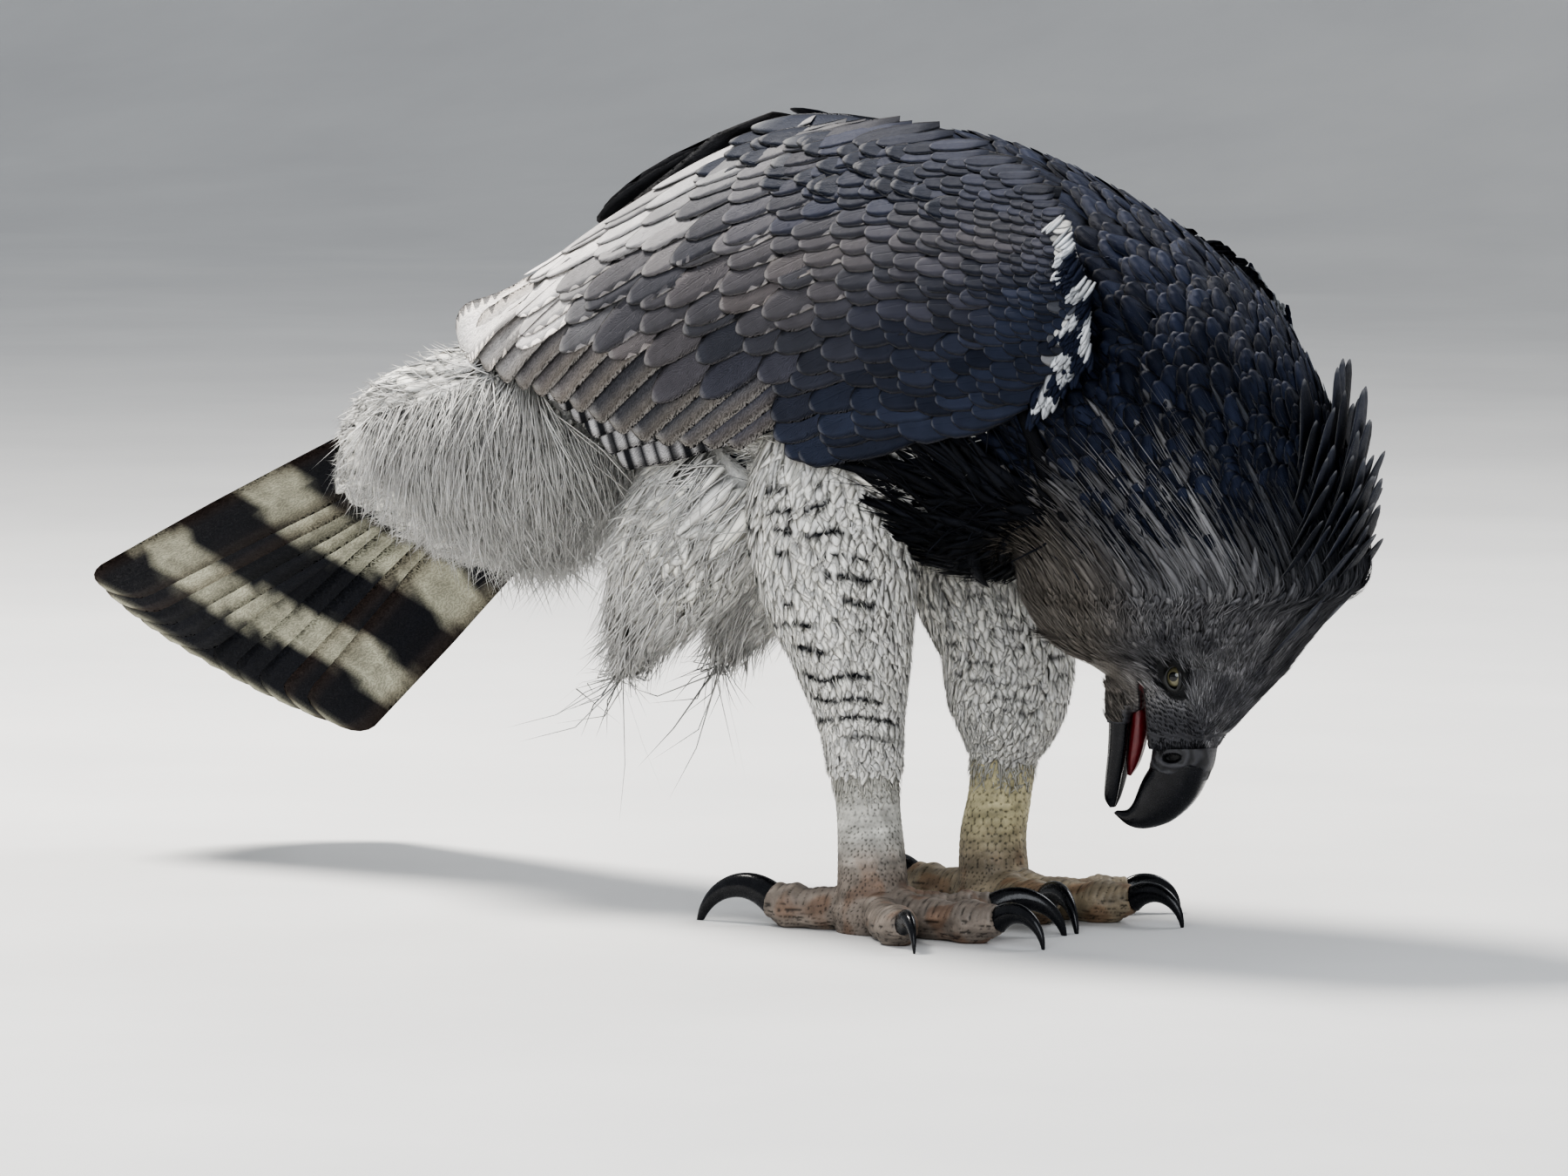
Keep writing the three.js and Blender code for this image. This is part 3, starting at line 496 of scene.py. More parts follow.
def build_vanes(shaft: Array, side: Array, out: Array, half: Array, kind: VaneKind, root_map: Array,
                draw: Draw) -> Vanes:
    """Closes a vane round each shaft.

    Formula: each ring lies across the shaft, its edges fall by the camber and its two faces part by
    the thickness at the shaft, and every edge point is moved a little in or out.

    Args:
        shaft: places, N by R + 1 by 3, of which the last is the tip.
        side: direction across the vane at each.
        out: direction of its face at each.
        half: half width, N.
        kind: the vane's shape.
        root_map: the root's place on the skin's map, N by 2.
        draw: the seeded draw.

    Returns:
        The vanes.
    """
    line, side, out = shaft[:, :-1], side[:, :-1, None], out[:, :-1, None]
    across, face = kind.section
    count, rings = line.shape[:2]
    share = np.array(kind.widths)[None, :, None]
    uneven = 1 + kind.ragged * draw.uniform(-1, 1, (count, rings, len(across))) * np.abs(across)
    widths = share * half[:, None, None] * uneven
    thin = kind.thick / 2 * face * (1 - np.abs(across)) ** 0.5
    lift = thin * np.clip(share, 0.5, 1) - kind.camber * np.abs(across) ** 1.5 * widths
    points = line[:, :, None] + side * (across * widths)[..., None] + out * lift[..., None]
    points = np.concatenate([points.reshape(count, -1, 3), shaft[:, -1:]], axis=1)
    along = np.append(np.repeat(kind.steps, len(across)), 1.0)
    return Vanes(kind, points, along, np.append(np.tile(across, rings), 0.0), line[:, 0], root_map,
                 draw.uniform(0, 1, count))


@dataclass(frozen=True)
class Tract:
    """An area of feathers in rows over a surface.

    Every pair is a value where the rows start and a value where they end.
    """

    surface: Surface
    rows: Pair
    columns: Pair
    gap: Pair
    length: Pair
    width: Pair
    kind: VaneKind = CONTOUR
    ahead: float = -1.0
    root_high: float = -2.0
    tip_high: float | Pair = 3.0
    lean: float = 0.6
    loose: float = 0.0
    untidy: float = 0.12
    seed: int = 1

    def roots(self, draw: Draw) -> tuple[Array, Array]:
        """Places a and b of each root.

        Formula: rows follow each other by the gap along the surface, and in each row the roots stand a
        gap apart by length round it, every second row half a gap on.
        """
        start, stop = self.rows
        made, a, row = [], start, 0
        sign = 1.0 if stop > start else -1.0
        while (a - stop) * sign < 0:
            gap = blend(*self.gap, (a - start) / (stop - start))
            step = sign * gap / self.speed(a)
            b = np.linspace(*self.columns, 120)
            around = self.surface.point(np.full_like(b, a), b)
            pace = np.concatenate([[0.0], np.cumsum(np.linalg.norm(np.diff(around, axis=0), axis=1))])
            count = max(int(pace[-1] / gap), 2)
            spots = (np.arange(count) + 0.5 * (row % 2) + draw.uniform(-0.3, 0.3, count)) / count
            made.append((a + draw.uniform(-0.3, 0.3, count) * step,
                         np.interp(np.clip(spots, 0, 1) * pace[-1], pace, b)))
            a += step
            row += 1
        return tuple(np.concatenate(values) for values in zip(*made))

    def speed(self, a: float) -> float:
        """Millimetres for each step of a, at the middle of the columns."""
        b = np.linspace(*self.columns, 9)
        return float(np.linalg.norm(self.surface.slopes(np.full_like(b, a), b)[0], axis=1).mean())

    def grow(self, keep: Callable | None = None,
             heading: Callable | None = None) -> tuple[Vanes, Array, Array]:
        """Lays the feathers.

        Formula: each shaft runs from its root in equal steps of the surface's own coordinates, along
        the lie and over the surface, rising from its root's height to its tip's, and the face leans
        so that one edge covers the next feather.

        Args:
            keep: says from a, b and place which roots bear a feather.
            heading: gives the lie's steps along and across from a and b, in place of the tract's own.

        Returns:
            The vanes, and the roots' a and b.
        """
        draw = np.random.default_rng(self.seed)
        a, b = self.roots(draw)
        if keep is not None:
            chosen = keep(a, b, self.surface.point(a, b))
            a, b = a[chosen], b[chosen]
        count = len(a)
        down = (a - self.rows[0]) / (self.rows[1] - self.rows[0])
        share = np.clip(down, 0, 1)
        length = blend(*self.length, share) * (1 + self.untidy * draw.normal(size=count))
        half = blend(*self.width, share) * (1 + 0.5 * self.untidy * draw.normal(size=count)) / 2
        along, across = self.surface.slopes(a, b)
        if heading is None:
            swirl = (self.untidy * 1.4 * draw.normal(size=count))[:, None]
            aim = unit(along) * self.ahead
            beside = unit(np.cross(self.surface.normal(a, b), aim))
            aim = aim * np.cos(swirl) + beside * np.sin(swirl)
        else:
            aim = heading(a, b, draw)
            aim = unit(along * aim[:, :1] + across * aim[:, 1:])
        steps = self.paces(along, across, aim) * length[:, None]
        u = np.append(self.kind.steps, 1.0)
        place_a, place_b = a[:, None] + steps[:, :1] * u, b[:, None] + steps[:, 1:] * u
        out = self.surface.normal(place_a, place_b)
        stand = self.loose * length * draw.uniform(0.3, 1.0, count)
        tall = self.tip_high if isinstance(self.tip_high, tuple) else (self.tip_high,) * 2
        high = blend(self.root_high, blend(*tall, share)[:, None], u) + stand[:, None] * u ** 2
        high = high + self.untidy * draw.uniform(-1.6, 1.6, count)[:, None]
        shaft = self.surface.point(place_a, place_b) + out * high[..., None]
        lean = (self.lean / np.maximum(half, 1.0))[:, None, None]
        turn = (b - self.columns[0]) / (self.columns[1] - self.columns[0])
        root_map = np.clip(0.02 + 0.95 * np.stack([turn, down], axis=-1), 0.005, 0.99)
        return vanes_on(shaft, out, lean, half, self.kind, root_map, draw), a, b

    @staticmethod
    def paces(along: Array, across: Array, aim: Array) -> Array:
        """Steps of a and b that move a millimetre along aim, by least squares on the two slopes."""
        aa, ab, bb = (np.sum(p * q, axis=1) for p, q in ((along, along), (along, across), (across, across)))
        ra, rb = np.sum(along * aim, axis=1), np.sum(across * aim, axis=1)
        det = aa * bb - ab * ab
        return np.stack([(bb * ra - ab * rb) / det, (aa * rb - ab * ra) / det], axis=-1)


def shade(vanes: Vanes, base: Array, tip: Array | None = None, turn: float = 0.7,
          fringe: Array | None = None, fringe_share: float = 0.5, root: float = 0.7,
          rim: Array | float = 0.0) -> Vanes:
    """Colours feathers from root to tip.

    Formula: the base colour turns into the tip's past the given place, the edges turn to the
    fringe by the fourth power of the distance across, and roots are darker, as painted shade under the
    feathers that cover them.

    Args:
        vanes: the feathers, which get their colours.
        base: colour of each feather, N by 3 or 3.
        tip: colour of each tip.
        turn: where along the feather the tip's colour begins.
        fringe: colour of the edges.
        fringe_share: how far the edges take it.
        root: brightness of the root, as painted shade.
        rim: how pale the thin worn rim is.

    Returns:
        The same feathers.
    """
    shape = (vanes.count, 3)
    along = vanes.along[None, :, None]
    colour = np.broadcast_to(base, shape)[:, None] * np.ones_like(along)
    if tip is not None:
        tip = np.broadcast_to(tip, shape)[:, None]
        colour = blend(colour, tip, ease(turn, min(turn + 0.25, 1.0), along))
    if fringe is not None:
        edge = np.maximum(np.abs(vanes.across)[None, :, None] ** 4, ease(0.9, 1.0, along))
        fringe = np.broadcast_to(fringe, shape)[:, None]
        colour = blend(colour, fringe, fringe_share * edge * ease(0.2, 0.6, along))
    # Painted shade: darker towards the root, which lies under other feathers.
    vanes.colours = colour * blend(root, 1.0, ease(0.0, 0.5, along))
    vanes.rim = rim
    return vanes


def whitened(vanes: Vanes, low: float = 0.86, root: float = 0.95) -> Vanes:
    """Filaments coloured white, each a little darker by chance."""
    return shade(vanes, HUE.white * (low + (1 - low) * vanes.chance[:, None]), root=root)


def creamy(vanes: Vanes, share: float) -> Array:
    """White that each feather turns a little to cream by chance."""
    return blend(HUE.white, HUE.cream, share * vanes.chance[:, None])


@dataclass(frozen=True)
class Palette:
    """Linear colours of the plumage and the bare parts."""

    slate: tuple = (0.040, 0.045, 0.058)
    slate_pale: tuple = (0.15, 0.155, 0.165)
    slate_brown: tuple = (0.125, 0.105, 0.095)
    blue_black: tuple = (0.014, 0.018, 0.034)
    black: tuple = (0.008, 0.009, 0.013)
    grey: tuple = (0.15, 0.15, 0.165)
    grey_pale: tuple = (0.36, 0.355, 0.36)
    buff: tuple = (0.30, 0.26, 0.21)
    crest: tuple = (0.030, 0.033, 0.045)
    white: tuple = (0.95, 0.94, 0.91)
    cream: tuple = (0.66, 0.63, 0.52)
    tail_pale: tuple = (0.47, 0.46, 0.36)
    tail_brown: tuple = (0.10, 0.055, 0.03)


HUE = SimpleNamespace(**{name: np.array(value) for name, value in vars(Palette()).items()})


class Graph:
    """A material's nodes, added and joined in short lines."""

    def __init__(self, name: str) -> None:
        """Makes the material with one Principled shader."""
        self.material = bpy.data.materials.new(name)
        self.material.use_nodes = True
        self.nodes = self.material.node_tree.nodes
        self.links = self.material.node_tree.links
        self.shader = self.nodes["Principled BSDF"]

    def add(self, kind: str, **settings) -> bpy.types.Node:
        """A node of a kind, with properties set and inputs given by name or number in inputs."""
        inputs = settings.pop("inputs", {})
        node = self.nodes.new("ShaderNode" + kind)
        for key, value in settings.items():
            setattr(node, key, value)
        for key, value in inputs.items():
            self.feed(node, key, value)
        return node

    def feed(self, node: bpy.types.Node, key, value) -> None:
        """Links an output to an input, or sets the input's value."""
        if isinstance(value, bpy.types.NodeSocket):
            self.links.new(value, node.inputs[key])
        else:
            node.inputs[key].default_value = value

    def math(self, operation: str, *values) -> bpy.types.NodeSocket:
        """The result of a Math node."""
        return self.add("Math", operation=operation, inputs=dict(enumerate(values))).outputs[0]

    def attribute(self, name: str) -> bpy.types.Node:
        """An Attribute node."""
        return self.add("Attribute", attribute_name=name)

    def mix(self, share, low, high, way: str = "MIX") -> bpy.types.NodeSocket:
        """The colour result of a Mix node."""
        node = self.add("Mix", data_type="RGBA", blend_type=way)
        for key, value in ((0, share), (6, low), (7, high)):
            if isinstance(value, (tuple, np.ndarray)):
                value = (*value[:3], 1.0)
            self.feed(node, key, value)
        return node.outputs[2]

    def noise(self, scale: float, detail: float = 3.0, vector=None, rough: float = 0.55):
        """The value of a Noise texture in object space, or along the given vector."""
        source = vector or self.add("TexCoord").outputs["Object"]
        node = self.add("TexNoise", inputs={
            "Vector": source, "Scale": scale, "Detail": detail, "Roughness": rough})
        return node.outputs[0]

    def ramp(self, value, low: float, high: float, start: float = 0.0, stop: float = 1.0):
        """A value mapped from one range to another, held at its ends."""
        return self.add("MapRange", inputs={0: value, 1: low, 2: high, 3: start, 4: stop}).outputs[0]

    def times(self, first, second) -> bpy.types.NodeSocket:
        """The product of two values."""
        return self.math("MULTIPLY", first, second)

    def toned(self, tone) -> bpy.types.NodeSocket:
        """The tint attribute's colour, brightened or darkened by a value."""
        grey = self.add("CombineXYZ", inputs={0: tone, 1: tone, 2: tone}).outputs[0]
        return self.mix(1.0, self.attribute("tint").outputs["Color"], grey, "MULTIPLY")

    def bump(self, height, distance: float, strength: float = 1.0, onto=None) -> bpy.types.NodeSocket:
        """A normal raised by a height."""
        inputs = {"Height": height, "Distance": distance, "Strength": strength}
        if onto is not None:
            inputs["Normal"] = onto
        return self.add("Bump", inputs=inputs).outputs[0]

    def shade(self, **values) -> Material:
        """Feeds the shader by input names with underscores for spaces, and returns the material."""
        for key, value in values.items():
            if isinstance(value, (tuple, np.ndarray)) and len(value) == 3:
                value = (*value, 1.0)
            self.feed(self.shader, key.replace("_", " "), value)
        return self.material


@dataclass(frozen=True)
class FeatherFinish:
    """Vanes with their own tint, barbs that run out from the shaft, and paler worn rims."""

    name: str
    roughness: float = 0.6
    barbs: float = 34.0
    slant: float = 10.0
    depth: float = 0.00008
    contrast: float = 0.2
    shine: float = 0.14
    rim: tuple = (0.42, 0.41, 0.40)

    def make(self) -> Material:
        """The material: tint times barb stripes, mottled by noise, with the rim's colour at the edges."""
        graph = Graph(self.name)
        vane = graph.add("SeparateXYZ", inputs={0: graph.attribute("vane").outputs["Vector"]})
        along, across, chance = vane.outputs
        edge = graph.math("ABSOLUTE", across)
        path = graph.math("SUBTRACT", graph.times(along, self.barbs), graph.times(edge, self.slant))
        wobble = graph.times(graph.noise(260.0, 2.0), 4.0)
        wave = graph.math("SINE", graph.times(graph.math("ADD", path, wobble), TAU))
        shaft = graph.ramp(edge, 0.0, 0.07, 1.0, 0.0)
        stripes = graph.ramp(wave, -1.0, 1.0, 1.0 - self.contrast, 1.0 + self.contrast)
        spread = graph.ramp(chance, 0.0, 1.0, 0.84, 1.16)
        mottle = graph.ramp(graph.noise(90.0, 4.0), 0.3, 0.7, 0.88, 1.12)
        colour = graph.toned(graph.times(graph.times(stripes, spread), mottle))
        fray = graph.times(graph.math("SUBTRACT", graph.noise(700.0, 3.0), 0.5), 0.12)
        side = graph.ramp(graph.math("ADD", edge, fray), 0.84, 0.97)
        end = graph.ramp(graph.math("ADD", along, graph.times(fray, 0.3)), 0.955, 0.985)
        worn = graph.times(graph.math("MAXIMUM", side, end), graph.attribute("tint").outputs["Alpha"])
        height = graph.math("ADD", graph.times(wave, 0.5), graph.times(shaft, 2.0))
        rough = graph.ramp(graph.noise(400.0, 2.0), 0.2, 0.8, self.roughness - 0.08, self.roughness + 0.1)
        return graph.shade(Base_Color=graph.mix(worn, colour, self.rim), Roughness=rough,
                           Normal=graph.bump(height, self.depth), Specular_IOR_Level=self.shine)


@dataclass(frozen=True)
class SkinFinish:
    """Skin under the feathers, in the colours of the coat over it."""

    name: str = "under_coat"

    def make(self) -> Material:
        """The material: the coat's tint, downy and matt."""
        graph = Graph(self.name)
        down = graph.noise(700.0, 4.0)
        colour = graph.toned(graph.ramp(down, 0.3, 0.7, 0.75, 1.1))
        return graph.shade(Base_Color=colour, Roughness=0.9, Normal=graph.bump(down, 0.0006))


@dataclass(frozen=True)
class BareFinish:
    """Bare scaly or wrinkled skin whose tint is darker in its grooves."""

    name: str
    roughness: float = 0.55

    def make(self) -> Material:
        """The material: tint mottled by two noises, with fine pores."""
        graph = Graph(self.name)
        mottle = graph.ramp(graph.noise(160.0, 5.0), 0.3, 0.7, 0.82, 1.15)
        fine = graph.noise(900.0, 3.0)
        colour = graph.toned(graph.times(mottle, graph.ramp(fine, 0.3, 0.7, 0.9, 1.08)))
        rough = graph.ramp(fine, 0.3, 0.7, self.roughness - 0.08, self.roughness + 0.12)
        return graph.shade(Base_Color=colour, Roughness=rough, Normal=graph.bump(fine, 0.00015))


@dataclass(frozen=True)
class HornFinish:
    """Polished horn of the bill and claws, with faint growth lines."""

    name: str = "horn"
    colour: tuple = (0.005, 0.0055, 0.008)
    worn: tuple = (0.014, 0.0145, 0.018)

    def make(self) -> Material:
        """The material: near black with worn streaks and a clear coat."""
        graph = Graph(self.name)
        streaks = graph.noise(120.0, 6.0, rough=0.65)
        scuffs = graph.noise(900.0, 3.0)
        colour = graph.mix(graph.ramp(streaks, 0.5, 0.75), self.colour, self.worn)
        height = graph.math("ADD", streaks, graph.times(scuffs, 0.3))
        return graph.shade(Base_Color=colour, Roughness=graph.ramp(scuffs, 0.25, 0.75, 0.11, 0.39),
                           Normal=graph.bump(height, 0.00025, 0.6), Specular_IOR_Level=0.3,
                           Coat_Weight=0.25, Coat_Roughness=0.08)


@dataclass(frozen=True)
class EyeFinish:
    """Iris, pupil and dark rim by their distance from the eye's axis, under a wet coat."""

    name: str = "eye"

    def make(self) -> Material:
        """The material, which reads the vane attribute: x is the distance from the axis over the radius."""
        graph = Graph(self.name)
        ring = graph.add("SeparateXYZ", inputs={0: graph.attribute("vane").outputs["Vector"]})
        away, around, _ = ring.outputs
        rays = graph.add("CombineXYZ", inputs={0: graph.math("MULTIPLY", around, 18.0),
                                               1: graph.math("MULTIPLY", away, 1.5)}).outputs[0]
        fibres = graph.noise(3.0, 4.0, rays, 0.7)
        iris = graph.mix(fibres, (0.07, 0.065, 0.04), (0.23, 0.21, 0.13))
        inner = graph.mix(graph.ramp(away, 0.24, 0.28), (0.001, 0.001, 0.0015), iris)
        rim = graph.mix(graph.ramp(away, 0.46, 0.58), inner, (0.008, 0.007, 0.007))
        return graph.shade(Base_Color=rim, Roughness=0.1, Coat_Weight=0.35, Coat_Roughness=0.02)


@dataclass(frozen=True)
class WetFinish:
    """Tongue and the lining of the mouth."""

    name: str = "mouth"

    def make(self) -> Material:
        """The material: dark red flesh, wet."""
        graph = Graph(self.name)
        folds = graph.noise(420.0, 4.0)
        colour = graph.mix(folds, (0.06, 0.006, 0.009), (0.17, 0.02, 0.024))
        return graph.shade(Base_Color=colour, Roughness=0.3, Normal=graph.bump(folds, 0.0004),
                           Coat_Weight=0.5, Coat_Roughness=0.15)


def new_piece(name: str, form: Form, material: Material, nodes: tuple[str, ...] = (),
              attributes: dict[str, Array] | None = None, uv: Array | None = None) -> Piece:
    """Makes a smooth mesh object from whole arrays, riding on the body.

    Args:
        name: the piece's name.
        form: places in the bird's millimetres, and faces in blocks of one number of corners.
        material: its finish.
        nodes: nodes of the solids that it stands for.
        attributes: values for each point, 3 columns for a vector and 4 for a colour.
        uv: for the OFBake map, a place for each point.

    Returns:
        The object.
    """
    points, blocks = form
    mesh = bpy.data.meshes.new(name)
    corners = np.concatenate([block.ravel() for block in blocks]).astype(np.int32)
    sizes = np.concatenate([np.full(len(block), block.shape[1]) for block in blocks])
    starts = np.concatenate([[0], np.cumsum(sizes)[:-1]]).astype(np.int32)
    mesh.vertices.add(len(points))
    mesh.vertices.foreach_set("co", ((points + SHIFT) / 1000.0).astype(np.float32).ravel())
    mesh.loops.add(len(corners))
    mesh.loops.foreach_set("vertex_index", corners)
    mesh.polygons.add(len(sizes))
    mesh.polygons.foreach_set("loop_start", starts)
    mesh.polygons.foreach_set("use_smooth", np.ones(len(sizes), dtype=bool))
    mesh.update(calc_edges=True)
    for key, values in (attributes or {}).items():
        kind, field = ("FLOAT_COLOR", "color") if values.shape[1] == 4 else ("FLOAT_VECTOR", "vector")
        layer = mesh.attributes.new(key, kind, "POINT")
        layer.data.foreach_set(field, values.astype(np.float32).ravel())
    if uv is not None:
        layer = mesh.uv_layers.new(name="OFBake")
        layer.data.foreach_set("uv", uv[corners].astype(np.float32).ravel())
    mesh.validate()
    mesh.materials.append(material)
    piece = bpy.data.objects.new(name, mesh)
    bpy.context.scene.collection.objects.link(piece)
    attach(piece, "root")
    if nodes:
        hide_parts(*nodes)
    return piece


def with_alpha(colours: Array, alpha: Array | float = 1.0) -> Array:
    """Colours with a fourth column, which tells how pale the rims of feathers are."""
    last = np.broadcast_to(alpha, colours.shape[:-1])[..., None]
    return np.concatenate([np.clip(colours, 0, 1), last], axis=-1)


class Coat:
    """All feathers of the bird, gathered by piece, with the roots that colour the skin."""

    PATCH = 0.003

    def __init__(self) -> None:
        """Starts with no feathers."""
        self.roots: list[Array] = []
        self.hues: list[Array] = []
        self.triangles = 0

    def lay(self, name: str, groups: list[Vanes], finish: Material, slot: str, nodes: tuple[str, ...] = (),
            is_strip: bool = False) -> None:
        """Joins groups of vanes in one piece.

        Args:
            name: the piece's name.
            groups: coloured vanes.
            finish: their material.
            slot: not used.
            nodes: nodes of the solids that they stand for.
            is_strip: whether each vane has a strip of its own on the map, for barred feathers.
        """
        vane, tint, uvs, start = [], [], [], 0
        by_size: dict[int, list[Array]] = {}
        for group in groups:
            size = group.points.shape[1]
            for block in group.faces():
                by_size.setdefault(block.shape[1], []).append(block + start)
            start += group.count * size
            along, across = np.tile(group.along, group.count), np.tile(group.across, group.count)
            vane.append(np.stack([along, across, np.repeat(group.chance, size)], axis=-1))
            rim = np.repeat(np.broadcast_to(group.rim, group.count), size)
            tint.append(with_alpha(group.colours.reshape(-1, 3), rim))
            if is_strip:
                number = np.repeat(np.arange(group.count), size)
                u = 0.03 + (number + 0.5 + 0.42 * across) * 0.94 / group.count
                uvs.append(np.stack([u, 0.03 + 0.94 * along], axis=-1))
            else:
                spot = np.repeat(group.root_map, size, axis=0)
                patch = np.stack([across * 0.5, along - 0.5], axis=-1) * self.PATCH
                uvs.append(np.clip(spot + patch, 0.001, 0.999))
            self.roots.append(group.roots)
            self.hues.append(group.colours.mean(axis=1))
        points = np.concatenate([group.points.reshape(-1, 3) for group in groups])
        joined = [np.concatenate(same) for same in by_size.values()]
        new_piece(name, (points, joined), finish, nodes,
                  {"vane": np.concatenate(vane), "tint": np.concatenate(tint)}, np.concatenate(uvs))
        count = sum(len(block) * (block.shape[1] - 2) for block in joined)
        self.triangles += count
        LOG.info("%s: %d vanes, %d triangles", name, sum(g.count for g in groups), count)


def grid_faces(rows: int, columns: int, is_closed: bool = True) -> Array:
    """Quads of a grid of points in rows, joined round from the last column to the first if closed."""
    r = np.arange(rows - 1)[:, None]
    c = np.arange(columns if is_closed else columns - 1)[None, :]
    after = (c + 1) % columns
    return np.stack([r * columns + c, r * columns + after, (r + 1) * columns + after,
                     (r + 1) * columns + c], axis=-1).reshape(-1, 4)


def closed_grid(rings: Array) -> Form:
    """A tube of rings, R by C by 3 places, closed by a fan at each end."""
    rows, columns = rings.shape[:2]
    points = np.concatenate([rings.reshape(-1, 3), rings[[0, -1]].mean(axis=1)])
    c = np.arange(columns)
    after = (c + 1) % columns
    start = np.stack([np.full(columns, rows * columns), after, c], axis=-1)
    last = (rows - 1) * columns
    stop = np.stack([np.full(columns, rows * columns + 1), last + c, last + after], axis=-1)
    return points, [grid_faces(rows, columns), np.concatenate([start, stop])]


def loft(surface: Surface, start: float, stop: float, rings: int, around: int) -> Form:
    """A closed length of a round surface."""
    a, b = np.meshgrid(np.linspace(start, stop, rings), np.arange(around) / around, indexing="ij")
    return closed_grid(surface.point(a, b))


def fused(name: str, forms: list[Form], voxel: float, cuts: list[Form] | None = None) -> Form:
    """One closed surface round several closed forms, less some others.

    The forms are joined by a voxel remesh in the bird's millimetres. The cuts are then taken away by
    Booleans, and the rest is meshed again so that it is even.

    Args:
        name: of the scratch objects.
        forms: what to join.
        voxel: size of the grid, in millimetres.
        cuts: what to take away.

    Returns:
        The surface.
    """
    whole = scratch(name, forms)
    add_remesh(whole, voxel)
    tools = [scratch(f"{name}_cut_{number}", [cut]) for number, cut in enumerate(cuts or [])]
    for tool in tools:
        modifier = whole.modifiers.new("cut", "BOOLEAN")
        modifier.operation, modifier.solver, modifier.object = "DIFFERENCE", "MANIFOLD", tool
    if tools:
        add_remesh(whole, voxel)
    made = bpy.data.meshes.new_from_object(whole.evaluated_get(bpy.context.evaluated_depsgraph_get()))
    points = read_all(made.vertices, "co", len(made.vertices) * 3, np.float32)
    corners = read_all(made.loops, "vertex_index", len(made.loops), np.int32)
    sizes = read_all(made.polygons, "loop_total", len(made.polygons), np.int32)
    starts = np.concatenate([[0], np.cumsum(sizes)[:-1]])
    blocks = [corners[starts[sizes == size][:, None] + np.arange(size)] for size in np.unique(sizes)]
    for mesh in (made, *[thing.data for thing in (whole, *tools)]):
        bpy.data.meshes.remove(mesh)
    return points.reshape(-1, 3).astype(float), blocks


def read_all(rows, field: str, count: int, kind: type) -> Array:
    """One field of all of a mesh's elements."""
    values = np.empty(count, dtype=kind)
    rows.foreach_get(field, values)
    return values


def scratch(name: str, forms: list[Form]) -> Piece:
    """A passing object of several closed forms, with all faces outward."""
    points, faces, start = [], [], 0
    for spots, blocks in forms:
        points.append(spots)
        faces += [face for block in blocks for face in (block + start).tolist()]
        start += len(spots)
    mesh = bpy.data.meshes.new(name)
    mesh.from_pydata(np.concatenate(points).tolist(), [], faces)
    shape = bmesh.new()
    shape.from_mesh(mesh)
    bmesh.ops.recalc_face_normals(shape, faces=shape.faces)
    shape.to_mesh(mesh)
    shape.free()
    thing = bpy.data.objects.new(name, mesh)
    bpy.context.scene.collection.objects.link(thing)
    return thing


def add_remesh(thing: Piece, voxel: float) -> None:
    """Adds a voxel remesh of the given size."""
    modifier = thing.modifiers.new("join", "REMESH")
    modifier.mode, modifier.voxel_size = "VOXEL", voxel


def relaxed(points: Array, blocks: list[Array], times: int, share: float = 0.5) -> Array:
    """Points moved towards the mean of their neighbours, several times.

    Formula: each step adds share times the mean of the joined points less the point.
    """
    edges = np.concatenate([np.stack([block, np.roll(block, -1, axis=1)], axis=-1).reshape(-1, 2)
                            for block in blocks])
    degree = np.bincount(edges[:, 0], minlength=len(points))[:, None]
    for _ in range(times):
        total = np.stack([np.bincount(edges[:, 0], weights=points[edges[:, 1], k], minlength=len(points))
                          for k in range(3)], axis=-1)
        points = points + share * (total / np.maximum(degree, 1) - points)
    return points


def nearest_hues(points: Array, roots: Array, hues: Array) -> Array:
    """The colour of the root nearest to each point."""
    tree = KDTree(len(roots))
    for number, root in enumerate(roots.tolist()):
        tree.insert(root, number)
    tree.balance()
    return hues[[tree.find(spot)[1] for spot in points.tolist()]]


LEG_LEAN = {Side.RIGHT: 0.0, Side.LEFT: 10.0}
ANKLE = {Side.RIGHT: (-9.0, -60.0, 118.0), Side.LEFT: (4.0, 58.0, 118.0)}


